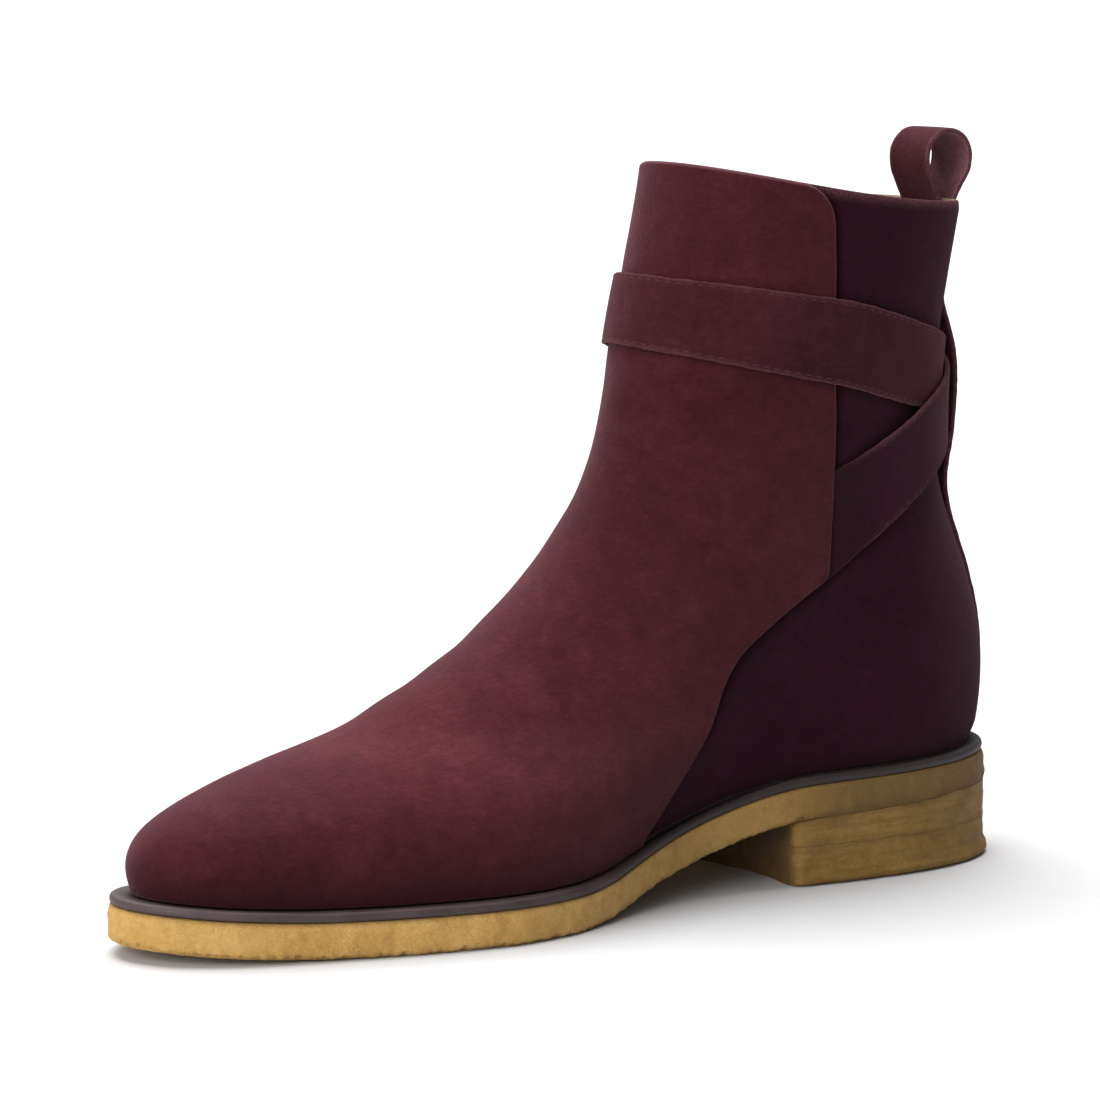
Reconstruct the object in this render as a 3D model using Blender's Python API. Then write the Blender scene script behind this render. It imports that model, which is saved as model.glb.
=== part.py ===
# Jodhpur boot, right foot, standing empty on its sole.
#
# World frame: metres, +Z up, floor at z = 0, toe towards -Y, inner (medial) side
# towards +X.  Inside the functions below lengths are millimetres: "s" runs forward
# from the back of the heel, "x" to the medial side and "z" up from the floor.
import math

import bmesh
import bpy
import numpy as np

for _o in list(bpy.data.objects):
    bpy.data.objects.remove(_o)

# ------------------------------------------------------------------ driving sizes
SOLE_LENGTH = 300.0        # outsole, back of heel to toe
HEEL_HEIGHT = 19.0         # lift and top piece together
HEEL_LENGTH = 92.0         # back of heel to the breast
BREAST_HOLLOW = 8.0        # how far the breast curves in
TOP_PIECE = 11.3           # thickness of the wearing layer of the heel
OUTSOLE = 10.0             # thickness of the crepe outsole
WELT = 2.7                 # thickness of the dark strip above it
GAP = 0.3                  # clearance between neighbouring pieces
WALL = 2.1                 # upper with its lining
PANEL = 1.3                # front panel laid over the upper
STRAP = 1.6                # ankle strap
STAY = 1.5                 # strip down the back
STRAP_WIDTH = 18.0
STAY_WIDTH = 17.0
WELT_REACH_HEEL = 2.6      # sole edge outside the feather line at the heel
WELT_REACH_WAIST = 2.4
WELT_REACH_TOE = 5.2
REAR = -3.16               # rearmost point, on the strip over the heel

# side profile of the upper, back of heel, feather to collar
BACK = [  # s, z
    (3.3, 32.3), (0.5, 40.0), (-1.1, 50.0), (-0.9, 63.0), (2.6, 78.0), (8.2, 92.0),
    (13.4, 104.0), (17.0, 116.0), (18.6, 132.0), (17.5, 152.0), (14.0, 173.0), (10.5, 192.0),
]
# side profile of the upper, toe feather over the vamp and instep to the collar
FRONT = [  # s, z
    (294.5, 16.4), (295.4, 22.2), (293.3, 29.0), (286.5, 35.0), (276.5, 39.4),
    (261.0, 44.1), (241.0, 48.9), (221.0, 54.4), (206.5, 61.4), (188.0, 70.4),
    (171.0, 81.4), (158.2, 91.2), (149.1, 100.0), (141.4, 109.6), (135.3, 120.2),
    (130.9, 133.0), (127.2, 149.0), (120.2, 175.0), (113.0, 206.0),
]
# rings from the feather line (level 0) to the collar (level 1): half-width of the
# upper as the factor of sin(phi), at six stations along each ring
RING_AT = (0.0, 0.12, 0.28, 0.46, 0.66, 0.84, 1.0)
RINGS = [  # level, back, heel, waist, arch, joint, toe, tip
    (0.00, 66.0, 52.5, 38.0, 35.0, 50.0, 46.5, 48.0),
    (0.10, 56.0, 53.0, 39.5, 38.0, 48.0, 46.0, 46.0),
    (0.25, 47.0, 49.0, 39.5, 36.0, 38.5, 39.5, 41.0),
    (0.40, 41.0, 43.0, 37.0, 33.5, 33.5, 34.0, 34.0),
    (0.55, 39.0, 39.5, 36.0, 33.5, 32.5, 32.0, 31.0),
    (0.70, 36.5, 37.0, 35.5, 34.5, 33.0, 31.5, 31.0),
    (0.85, 36.5, 37.0, 36.5, 35.5, 34.5, 33.5, 33.0),
    (1.00, 38.0, 38.0, 37.5, 37.0, 36.5, 36.0, 35.0),
]
# the same rings: how far the middle line lies to the medial side
MIDDLE = [  # level, back, heel, waist, arch, joint, toe, tip
    (0.00, -1.0, -1.0, -1.0, -3.0, 3.0, 6.5, 8.0),
    (0.12, -0.5, -0.5, -0.5, -2.0, 3.5, 6.5, 7.5),
    (0.30, 0.0, 0.0, 0.0, 0.0, 3.0, 5.5, 6.5),
    (0.50, 0.0, 0.0, 0.0, 0.5, 2.5, 4.0, 5.0),
    (0.75, 0.0, 0.0, 0.0, 0.5, 1.5, 2.0, 2.0),
    (1.00, 0.0, 0.0, 0.0, 0.0, 0.5, 1.0, 1.0),
]
# rear edge of the front panel: seam with the quarter, then the free flap edge
PANEL_EDGE = [  # z, s on the medial side, s on the lateral side
    (14.0, 148.0, 154.5), (22.0, 144.0, 153.5), (30.0, 138.5, 151.5), (42.0, 130.8, 147.0),
    (51.0, 124.2, 141.5), (60.0, 118.8, 134.5), (67.0, 113.2, 127.5), (73.0, 105.5, 119.0),
    (78.0, 97.0, 109.0), (82.5, 88.6, 97.0), (86.5, 81.4, 86.5), (90.0, 78.7, 80.4),
    (94.0, 78.4, 78.5), (150.0, 78.4, 78.4), (188.0, 78.4, 78.4), (192.0, 78.9, 78.9),
    (195.8, 80.6, 80.6), (198.6, 83.2, 83.2), (200.6, 86.8, 86.8), (202.0, 91.0, 91.0), (207.0, 104.0, 104.0),
]
# straps, each section from its lower to its upper corner; lift is the gap under it
STRAP_OUTER = [  # lower phi, lower z, upper phi, upper z, lift
    (75.4, 87.6, 90.5, 118.4, 0.6), (69.9, 93.4, 81.5, 121.6, 0.8), (62.9, 100.6, 73.0, 126.2, 1.6),
    (54.5, 108.3, 63.5, 131.2, 2.5), (44.1, 115.5, 52.5, 136.6, 2.7), (30.0, 121.8, 36.5, 142.4, 2.7),
    (15.0, 126.3, 19.0, 147.3, 2.7), (0.0, 128.7, 1.5, 150.3, 2.7), (-15.0, 129.8, -15.0, 151.6, 2.7),
    (-30.0, 129.9, -30.5, 151.7, 2.7), (-43.0, 130.0, -44.0, 151.4, 2.7), (-54.0, 130.8, -55.0, 151.4, 2.5),
    (-63.0, 132.4, -64.0, 151.8, 1.4), (-71.0, 134.4, -72.0, 153.0, 0.7), (-79.0, 136.4, -80.0, 154.4, 0.6),
    (-87.0, 138.2, -88.0, 156.0, 0.6),
]
STRAP_INNER = [  # the same columns
    (-75.4, 88.4, -90.5, 117.6, 0.6), (-69.9, 91.4, -80.5, 119.2, 0.6), (-62.9, 95.9, -71.5, 121.7, 0.6),
    (-54.5, 101.1, -62.5, 125.4, 0.6), (-44.1, 107.6, -52.0, 130.5, 0.6), (-30.0, 116.0, -37.0, 138.2, 0.6),
    (-15.0, 123.2, -19.5, 145.4, 0.6), (0.0, 127.9, -1.5, 149.9, 0.6), (15.0, 130.0, 15.0, 152.0, 0.6),
    (30.0, 131.4, 30.0, 153.6, 0.6), (45.0, 133.4, 45.0, 156.2, 0.6), (60.0, 135.8, 60.0, 159.2, 0.6),
    (72.0, 138.2, 72.0, 161.8, 0.8), (84.0, 140.9, 84.0, 164.5, 1.6), (94.0, 143.2, 94.0, 166.7, 2.05),
    (104.0, 145.0, 104.0, 168.3, 1.9), (116.0, 147.2, 116.0, 169.8, 1.9), (130.0, 149.6, 130.0, 171.4, 1.9),
    (145.0, 151.8, 145.0, 172.8, 1.9), (160.0, 153.2, 160.0, 173.6, 1.9), (175.0, 154.2, 175.0, 174.2, 1.9),
    (190.0, 154.4, 190.0, 174.2, 1.9), (205.0, 153.6, 205.0, 173.2, 1.9), (220.0, 152.0, 220.0, 171.2, 1.9),
    (235.0, 149.4, 235.0, 168.4, 1.9), (247.0, 146.8, 247.0, 165.6, 2.0), (255.0, 144.8, 255.0, 163.4, 2.2),
]
# the same strap through the buckle and on to its tongue, measured from the buckle's
# middle: along the strap towards the tongue, across, height of its underside
BUCKLE_RUN = [  # along, middle across, half width, under
    (-14.5, 0.7, 9.2, 2.3), (-11.5, 0.3, 8.9, 2.3), (-8.8, 0.1, 8.8, 2.4), (-6.0, 0.0, 8.8, 3.8),
    (-3.2, 0.0, 8.8, 5.3), (0.0, 0.0, 8.8, 5.7), (3.2, 0.0, 8.8, 5.2), (6.0, 0.0, 8.8, 3.7),
    (8.8, 0.0, 8.8, 2.55), (11.5, 0.0, 8.9, 2.6), (15.0, 0.0, 9.1, 2.9), (20.0, 0.0, 9.3, 3.6),
    (25.0, 0.0, 9.3, 4.5), (29.0, 0.0, 8.9, 4.8), (31.8, 0.0, 7.4, 4.8), (33.6, 0.0, 4.8, 4.8),
    (34.4, 0.0, 1.8, 4.8),
]
BUCKLE_AT = (-84.5, 147.9)   # phi and z of the middle of the buckle
BUCKLE_LONG = 21.0           # along the strap
BUCKLE_WIDE = 24.0           # across it
BUCKLE_BAR = 2.8
BUCKLE_UNDER = 4.6           # underside of the outer bars above the boot's side
BUCKLE_THICK = 2.8
CENTRE_BAR = (3.1, 5.2)      # underside and top of the centre bar
PRONG = [  # along, height, radius
    (0.1, 5.55, 0.8), (0.1, 5.75, 1.0), (0.0, 7.2, 1.0), (-0.4, 8.2, 1.0), (-1.6, 8.85, 1.0),
    (-4.0, 9.0, 1.0), (-8.0, 8.85, 0.95), (-11.0, 8.75, 0.9), (-12.7, 8.55, 0.85), (-13.2, 8.5, 0.5),
]
# strip up the back, bowed out over the crossing straps
STAY_ROWS = [  # z, gap under it
    (33.6, 0.4), (40.0, 0.4), (47.0, 0.4), (54.0, 0.4), (62.0, 0.4), (70.0, 0.4), (78.0, 0.4),
    (86.0, 0.4), (94.0, 0.5), (101.0, 0.9), (107.0, 1.9), (112.5, 3.5), (117.5, 5.2), (122.5, 6.5),
    (128.0, 7.4), (134.0, 7.9), (140.0, 8.0), (146.0, 7.5), (151.5, 6.3), (156.0, 4.6), (160.0, 2.8),
    (163.6, 1.3), (167.0, 0.5),
]
# pull loop above it: outside of the collar, over the top and down the inside
LOOP_ROWS = [  # ahead of the collar's back point, z above it
    (-2.6, 2.8), (-5.0, 6.6), (-6.8, 10.8), (-6.7, 15.0), (-4.6, 18.4), (-0.9, 20.3),
    (3.3, 20.3), (6.9, 18.3), (9.1, 15.0), (9.3, 10.8), (7.6, 6.6), (5.4, 2.8),
]
# bottom of the outsole over its length
SOLE_RISE = [  # s, z
    (-5.0, 19.0), (78.0, 19.0), (90.0, 18.3), (105.0, 15.8), (120.0, 12.1), (135.0, 8.0),
    (150.0, 4.1), (165.0, 1.1), (180.0, 0.0), (235.0, 0.0), (255.0, 0.35),
    (275.0, 1.4), (305.0, 4.3),
]


# ------------------------------------------------------------------ small maths
def monotone(table, x, col=1):
    """Monotone cubic through rows (x, y)."""
    xs = np.array([r[0] for r in table], float)
    ys = np.array([r[col] for r in table], float)
    h = np.diff(xs)
    d = np.diff(ys) / h
    m = np.zeros_like(ys)
    for i in range(1, len(xs) - 1):
        if d[i - 1] * d[i] > 0:
            w1, w2 = 2 * h[i] + h[i - 1], h[i] + 2 * h[i - 1]
            m[i] = (w1 + w2) / (w1 / d[i - 1] + w2 / d[i])
    m[0], m[-1] = d[0], d[-1]
    x = np.clip(np.asarray(x, float), xs[0], xs[-1])
    i = np.clip(np.searchsorted(xs, x, side="right") - 1, 0, len(xs) - 2)
    t = (x - xs[i]) / h[i]
    return ((2 * t**3 - 3 * t**2 + 1) * ys[i] + (t**3 - 2 * t**2 + t) * h[i] * m[i]
            + (3 * t**2 - 2 * t**3) * ys[i + 1] + (t**3 - t**2) * h[i] * m[i + 1])


def natural(xs, ys, x):
    """Natural cubic spline, ys may hold several columns."""
    xs, ys = np.asarray(xs, float), np.asarray(ys, float)
    n = len(xs)
    h = np.diff(xs)
    a = np.zeros((n, n))
    b = np.zeros((n,) + ys.shape[1:])
    a[0, 0] = a[-1, -1] = 1.0
    for i in range(1, n - 1):
        a[i, i - 1], a[i, i], a[i, i + 1] = h[i - 1], 2 * (h[i - 1] + h[i]), h[i]
        b[i] = 6 * ((ys[i + 1] - ys[i]) / h[i] - (ys[i] - ys[i - 1]) / h[i - 1])
    m = np.linalg.solve(a, b)
    x = np.clip(np.asarray(x, float), xs[0], xs[-1])
    i = np.clip(np.searchsorted(xs, x, side="right") - 1, 0, n - 2)
    hi = h[i]
    u, w = (xs[i + 1] - x) / hi, (x - xs[i]) / hi
    if ys.ndim > 1:
        u, w, hi = u[..., None], w[..., None], hi[..., None]
    return (u * ys[i] + w * ys[i + 1]
            + ((u**3 - u) * m[i] + (w**3 - w) * m[i + 1]) * hi * hi / 6)


def by_length(points):
    """A smooth curve through points as a function of 0..1 of its length."""
    p = np.array(points, float)
    k = np.concatenate([[0], np.cumsum(np.hypot(*np.diff(p, axis=0).T))])
    fine = natural(k, p, np.linspace(0, k[-1], 600))
    f = np.concatenate([[0], np.cumsum(np.hypot(*np.diff(fine, axis=0).T))])
    f /= f[-1]
    return lambda v: np.stack([np.interp(v, f, fine[:, 0]), np.interp(v, f, fine[:, 1])], -1)


back_curve, front_curve = by_length(BACK), by_length(FRONT)


def sole_rise(s):
    return monotone(SOLE_RISE, s)


def feather_z(s):
    return sole_rise(s) + OUTSOLE + WELT + 2 * GAP


def table2(rows, level, t):
    """Value of a ring table at a level and a station."""
    levels = [r[0] for r in rows]
    cols = natural(levels, np.array([r[1:] for r in rows], float), level)
    out = np.zeros(np.shape(t))
    flat_l, flat_t = np.broadcast_arrays(level, t)
    cols = np.broadcast_to(cols, flat_l.shape + (len(RING_AT),))
    out = np.zeros(flat_t.shape)
    basis = natural(RING_AT, np.eye(len(RING_AT)), flat_t)
    return np.sum(basis * cols, -1)


def side_view(v, t):
    """Ring v at fraction t from its back to its front, as (s, z)."""
    v, t = np.broadcast_arrays(np.asarray(v, float), np.asarray(t, float))
    b, f = back_curve(v), front_curve(v)
    b0, b1, f0, f1 = back_curve(0.0), back_curve(1.0), front_curve(0.0), front_curve(1.0)
    tt, vv = t[..., None], v[..., None]
    s_low = b0[0] + (f0[0] - b0[0]) * t
    low = np.stack([s_low, feather_z(s_low)], -1)
    top_line = b1 + (f1 - b1) * tt
    # the collar dips a little behind its middle
    top_line[..., 1] -= 2.0 * np.sin(math.pi * t)
    sheet = (1 - tt) * b + tt * f + (1 - vv) * low + vv * top_line
    return sheet - ((1 - vv) * ((1 - tt) * b0 + tt * f0) + vv * ((1 - tt) * b1 + tt * f1))


def skin(phi, v):
    """Outside of the upper; phi 0 at the back, 90 degrees on the medial side."""
    phi, v = np.broadcast_arrays(np.asarray(phi, float), np.asarray(v, float))
    t = (1 - np.cos(phi)) / 2
    sz = side_view(v, t)
    x = table2(MIDDLE, v, t) + table2(RINGS, v, t) * np.sin(phi)
    return np.stack([x, sz[..., 0], sz[..., 1]], -1)


def skin_normal(phi, v):
    e = 1e-3
    v = np.asarray(v, float)
    lo, hi = np.clip(v - e, 0, 1), np.clip(v + e, 0, 1)
    a = skin(phi + e, v) - skin(phi - e, v)
    b = skin(phi, hi) - skin(phi, lo)
    n = np.cross(a, b)
    n /= np.linalg.norm(n, axis=-1, keepdims=True)
    return n


def off(phi, v, lift):
    """A point lifted off the skin."""
    lift = np.asarray(lift, float)
    return skin(phi, v) + skin_normal(phi, v) * lift[..., None]


def level_at(phi, z):
    """The ring level at which the skin has height z."""
    phi, z = np.broadcast_arrays(np.asarray(phi, float), np.asarray(z, float))
    t = (1 - np.cos(phi)) / 2
    lo, hi = np.zeros(phi.shape), np.ones(phi.shape)
    for _ in range(40):
        mid = (lo + hi) / 2
        under = side_view(mid, t)[..., 1] < z
        lo, hi = np.where(under, mid, lo), np.where(under, hi, mid)
    return (lo + hi) / 2


def panel_phi(v, side=1):
    """Angle of the front panel's rear edge on ring v, 1 medial and 2 lateral."""
    v = np.asarray(v, float)
    lo, hi = np.full(v.shape, 0.02), np.full(v.shape, 3.1)
    for _ in range(40):
        mid = (lo + hi) / 2
        sz = side_view(v, (1 - np.cos(mid)) / 2)
        behind = sz[..., 0] < monotone(PANEL_EDGE, sz[..., 1], side)
        lo, hi = np.where(behind, mid, lo), np.where(behind, hi, mid)
    return (lo + hi) / 2


def grid_angles(n):
    """Angles round a ring, a little closer together along the sides."""
    th = np.arange(n) / n * 2 * math.pi
    return th + 0.10 * np.sin(2 * th)


def plan_ring(phi, reach):
    """Feather outline widened by reach, as (x, s)."""
    e = 1e-3
    p = skin(phi, 0.0)[..., :2]
    d = skin(phi + e, 0.0)[..., :2] - skin(phi - e, 0.0)[..., :2]
    n = np.stack([d[..., 1], -d[..., 0]], -1)
    n /= np.linalg.norm(n, axis=-1, keepdims=True)
    return p + n * np.asarray(reach)[..., None]


def sole_reach(phi):
    t = (1 - np.cos(phi)) / 2
    return monotone([(0.0, WELT_REACH_HEEL), (0.25, WELT_REACH_WAIST),
                     (0.45, WELT_REACH_WAIST + 0.4), (0.62, 4.6), (0.8, WELT_REACH_TOE),
                     (1.0, WELT_REACH_TOE)], t)


def sole_ring(phi, inset=0.0):
    return plan_ring(phi, sole_reach(phi) - inset)


_probe = sole_ring(np.linspace(0, 2 * math.pi, 721))
X_MID = 0.5 * (_probe[:, 0].max() + _probe[:, 0].min())
S_BACK, S_TOE = _probe[:, 1].min(), _probe[:, 1].max()
S_MID = 0.5 * (REAR + S_TOE)


def world(p):
    """(x, s, z) in millimetres to the world in metres."""
    p = np.asarray(p, float)
    return np.stack([p[..., 0] - X_MID, S_MID - p[..., 1], p[..., 2]], -1) * 0.001


# ------------------------------------------------------------------ making meshes
def material(name, colour, rough, metal=0.0):
    m = bpy.data.materials.new(name)
    m.use_nodes = True
    p = m.node_tree.nodes["Principled BSDF"]
    p.inputs["Base Color"].default_value = (*colour, 1.0)
    p.inputs["Roughness"].default_value = rough
    p.inputs["Metallic"].default_value = metal
    return m


def build(name, verts, faces, mat, sharp=40.0):
    """Verts in (x, s, z) millimetres; repeated corners of a face fall together."""
    me = bpy.data.meshes.new(name)
    bm = bmesh.new()
    vs = [bm.verts.new(p) for p in world(verts)]
    for f in faces:
        ids = [i for k, i in enumerate(f) if i != f[k - 1]]
        if len(set(ids)) >= 3:
            bm.faces.new([vs[i] for i in ids])
    bmesh.ops.recalc_face_normals(bm, faces=bm.faces)
    if bm.calc_volume(signed=True) < 0:
        bmesh.ops.reverse_faces(bm, faces=bm.faces)
    bmesh.ops.triangulate(bm, faces=bm.faces, quad_method="SHORT_EDGE")
    bm.to_mesh(me)
    bm.free()
    me.materials.append(mat)
    me.shade_smooth()
    me.set_sharp_from_angle(angle=math.radians(sharp))
    ob = bpy.data.objects.new(name, me)
    bpy.context.scene.collection.objects.link(ob)
    return ob


def loft(name, loops, mat, wrap=False, sharp=40.0):
    """Closed loops of equal length joined in a row.  With wrap the last joins the
    first, otherwise both ends are closed by cross strips."""
    loops = [np.asarray(l, float) for l in loops]
    n, k = len(loops[0]), len(loops)
    verts = np.concatenate(loops)
    faces = []
    for j in range(k if wrap else k - 1):
        a, b = j * n, ((j + 1) % k) * n
        for i in range(n):
            i2 = (i + 1) % n
            faces.append((a + i, a + i2, b + i2, b + i))
    if not wrap:
        for base in (0, (k - 1) * n):
            for i in range(n // 2):
                lo1, lo2 = i % n, i + 1
                hi1, hi2 = (n - i) % n, n - i - 1
                faces.append((base + lo1, base + lo2, base + hi2, base + hi1))
    return build(name, verts, faces, mat, sharp)


def ribbon(name, sections, mat, sharp=40.0):
    """Sections of equal length in a row, each a closed outline, ends filled."""
    sections = [np.asarray(s, float) for s in sections]
    n, k = len(sections[0]), len(sections)
    verts = np.concatenate(sections)
    faces = []
    for j in range(k - 1):
        for i in range(n):
            i2 = (i + 1) % n
            faces.append((j * n + i, j * n + i2, (j + 1) * n + i2, (j + 1) * n + i))
    faces.append(tuple(range(n)))
    faces.append(tuple((k - 1) * n + i for i in range(n)))
    return build(name, verts, faces, mat, sharp)


# ------------------------------------------------------------------ materials
crepe = material("crepe", (0.62, 0.40, 0.14), 0.75)
dark_leather = material("welt_leather", (0.045, 0.022, 0.026), 0.45)
suede = material("burgundy_suede", (0.085, 0.014, 0.020), 0.95)
suede_panel = material("burgundy_suede_panel", (0.090, 0.015, 0.021), 0.95)
suede_strap = material("burgundy_suede_strap", (0.080, 0.013, 0.019), 0.95)
suede_loop = material("mauve_suede", (0.200, 0.070, 0.090), 0.95)
lining = material("footbed_leather", (0.300, 0.200, 0.120), 0.6)
pale_gold = material("pale_gold", (0.78, 0.66, 0.42), 0.25, 1.0)


# ------------------------------------------------------------------ sole
def flat_ring(phi, inset, z_of_s):
    xs = sole_ring(phi, inset)
    return np.concatenate([xs, z_of_s(xs[:, 1])[:, None]], 1)


PH = grid_angles(68)
loft("outsole", [
    flat_ring(PH, 0.9, lambda s: sole_rise(s)),
    flat_ring(PH, 0.0, lambda s: sole_rise(s) + 1.0),
    flat_ring(PH, 0.3, lambda s: sole_rise(s) + OUTSOLE - 0.8),
    flat_ring(PH, 1.0, lambda s: sole_rise(s) + OUTSOLE),
], crepe)


def ring_inset(phi, inset, lift):
    """Closed ring inside the sole edge at a height above the outsole's top."""
    xs = sole_ring(phi, inset)
    z = sole_rise(xs[:, 1]) + OUTSOLE + lift
    return np.concatenate([xs, z[:, None]], 1)


def feather_ring(phi, inset, lift):
    """The same inside the feather line."""
    xs = plan_ring(phi, np.full(np.shape(phi), -inset))
    z = sole_rise(xs[:, 1]) + OUTSOLE + lift
    return np.concatenate([xs, z[:, None]], 1)


PW = grid_angles(64)
loft("welt", [
    ring_inset(PW, 1.5, GAP),
    ring_inset(PW, 0.5, GAP + 1.1),
    ring_inset(PW, 0.6, GAP + 2.6),
    ring_inset(PW, 1.7, GAP + WELT),
    feather_ring(PW, 6.5, GAP + WELT),
    feather_ring(PW, 6.5, GAP),
], dark_leather, wrap=True)

PI_ = grid_angles(48)
UP = 2 * GAP + WELT
loft("insole", [
    feather_ring(PI_, 7.2, GAP + 0.15),
    feather_ring(PI_, 7.2, UP),
    feather_ring(PI_, WALL + 1.1, UP),
    feather_ring(PI_, WALL + 1.0, UP + 2.4),
    feather_ring(PI_, WALL + 2.2, UP + 3.2),
], lining)


def heel_ring(inset, z, n_back=22, n_breast=10):
    """Heel outline at height z (below the outsole if z is negative): round the back,
    across the hollow breast."""
    lim = 1.0
    a = np.linspace(0.02, 3.0, 400)
    sm, sl = sole_ring(a, inset)[:, 1], sole_ring(-a, inset)[:, 1]
    pm = np.interp(HEEL_LENGTH - lim, sm, a)
    pl = np.interp(HEEL_LENGTH - lim, sl, a)
    round_back = sole_ring(np.linspace(-pl, pm, n_back), inset)
    lat, med = round_back[0], round_back[-1]
    k = np.linspace(0, 1, n_breast + 2)[1:-1]
    line = med + (lat - med) * k[:, None]
    bow = np.clip(np.sin(math.pi * k), 0, 1) ** 0.8
    line[:, 1] = line[:, 1] + 1.4 * np.clip(1 - np.abs(2 * k - 1), 0, 0.15) / 0.15 - BREAST_HOLLOW * bow
    p = np.concatenate([round_back, line])
    tall = sole_rise(p[:, 1]) + z if z < 0 else np.full(len(p), z)
    return np.concatenate([p, tall[:, None]], 1)


def heel_block(name, levels):
    rings = [heel_ring(i, z) for i, z in levels]
    n = len(rings[0])
    verts = np.concatenate(rings)
    faces = []
    for j in range(len(rings) - 1):
        for i in range(n):
            i2 = (i + 1) % n
            faces.append((j * n + i, j * n + i2, (j + 1) * n + i2, (j + 1) * n + i))
    faces.append(tuple(range(n)))
    faces.append(tuple((len(rings) - 1) * n + i for i in range(n)))
    return build(name, verts, faces, crepe)


heel_block("heel_top_piece", [(0.9, 0.0), (-0.4, 1.2), (0.2, 3.0), (0.7, TOP_PIECE - 0.7), (1.3, TOP_PIECE)])
heel_block("heel_lift", [(1.3, TOP_PIECE + GAP), (0.7, TOP_PIECE + GAP + 0.7),
                         (0.4, -GAP - 0.6), (1.0, -GAP)])

# ------------------------------------------------------------------ upper
LEVELS = np.array([0, .02, .05, .09, .135, .185, .24, .29, .33, .36, .376, .388, .402, .418, .46,
                   .53, .60, .68, .76, .85, .93, .965, .985, 1.0])
INSIDE = np.array([1.0, .93, .80, .68, .56, .46, .38, .31, .24, .17, .11, .06, .025, 0.0])
PU = grid_angles(46)


def rim_safe(phi, level, lift):
    """Lifted ring; the lowest one stays flat on the feather height."""
    p = off(phi, np.full(phi.shape, level), np.full(phi.shape, lift))
    if level == 0.0:
        p[:, 2] = np.maximum(p[:, 2], feather_z(p[:, 1]))
    return p


outer = [rim_safe(PU, l, 0.0) for l in LEVELS]
inner = [rim_safe(PU, l, -WALL) for l in INSIDE]
loft("upper", outer + inner, suede, wrap=True)

# ------------------------------------------------------------------ front panel
FRONT_COLS = [a for a in PU if 0.9 < a < 2 * math.pi - 0.9]


def panel_rows(lift):
    rows = []
    for l in LEVELS:
        e = float(panel_phi(np.array(l), 1))
        f = 2 * math.pi - float(panel_phi(np.array(l), 2))
        rows.append([min(max(a, e), f) for a in FRONT_COLS])
    return rows


def panel_mesh():
    rows = panel_rows(0)
    verts, index = [], {}

    def vid(side, j, a):
        key = (side, j, round(a, 7))
        if key not in index:
            lift = GAP + 0.07 if side == 0 else GAP + PANEL
            l = LEVELS[j]
            p = off(np.array([a]), np.array([l]), np.array([lift]))[0]
            if j == 0:
                p[2] = max(p[2], float(feather_z(p[1])))
            index[key] = len(verts)
            verts.append(p)
        return index[key]

    faces = []
    m = len(FRONT_COLS)
    for j in range(len(LEVELS) - 1):
        for i in range(m - 1):
            a0, a1, b0, b1 = rows[j][i], rows[j][i + 1], rows[j + 1][i], rows[j + 1][i + 1]
            if a1 - a0 < 1e-6 and b1 - b0 < 1e-6:
                continue
            for side in (0, 1):
                q = (vid(side, j, a0), vid(side, j, a1), vid(side, j + 1, b1), vid(side, j + 1, b0))
                faces.append(q if side else q[::-1])
    # side walls along both edges, bottom and top
    for j in range(len(LEVELS) - 1):
        for i, flip in ((0, False), (m - 1, True)):
            q = (vid(0, j, rows[j][i]), vid(1, j, rows[j][i]),
                 vid(1, j + 1, rows[j + 1][i]), vid(0, j + 1, rows[j + 1][i]))
            faces.append(q[::-1] if flip else q)
    for j, flip in ((0, True), (len(LEVELS) - 1, False)):
        for i in range(m - 1):
            a0, a1 = rows[j][i], rows[j][i + 1]
            if a1 - a0 > 1e-6:
                q = (vid(0, j, a0), vid(1, j, a0), vid(1, j, a1), vid(0, j, a1))
                faces.append(q[::-1] if flip else q)
    return np.array(verts), faces


PV, PF = panel_mesh()
build("front_panel", PV, PF, suede_panel)

# ------------------------------------------------------------------ straps
RAD = math.pi / 180.0


def denser(rows, step):
    """The rows resampled smoothly, about step apart in their first column."""
    r = np.array(rows, float)
    k = np.concatenate([[0], np.cumsum(np.abs(np.diff(r[:, 0])))])
    n = max(int(round(k[-1] / step)), 2)
    return natural(k, r, np.linspace(0, k[-1], n + 1))


def phi_at(s_want, z):
    """Angle on the medial side at which the skin at height z lies at s_want."""
    lo, hi = np.full(np.shape(z), 0.3), np.full(np.shape(z), 2.6)
    for _ in range(40):
        mid = (lo + hi) / 2
        near = skin(mid, level_at(mid, z))[..., 1] < s_want
        lo, hi = np.where(near, mid, lo), np.where(near, hi, mid)
    return lo


ANCHOR = 77.9              # the sewn-down strap ends stop short of the flap's edge


def strap_section(row, thick, stop=0):
    """Six corners across a strap: under side low to high, outer side high to low.
    With stop the piece ends at the flap's edge on that side."""
    pl, zl, ph, zh, lift = row
    q = np.array([0.0, 0.5, 1.0])
    phi, z = (pl + (ph - pl) * q) * RAD, zl + (zh - zl) * q
    if stop:
        phi = stop * np.minimum(stop * phi, phi_at(ANCHOR, z))
    v = level_at(phi, z)
    under = off(phi, v, np.full(3, lift))
    outer = off(phi, v, np.full(3, lift + thick))
    return np.concatenate([under, outer[::-1]])


ribbon("strap_buckle", [strap_section(r, STRAP, 1 if r[0] > 20 else 0) for r in denser(STRAP_OUTER, 6.6)],
       suede_strap)

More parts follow.
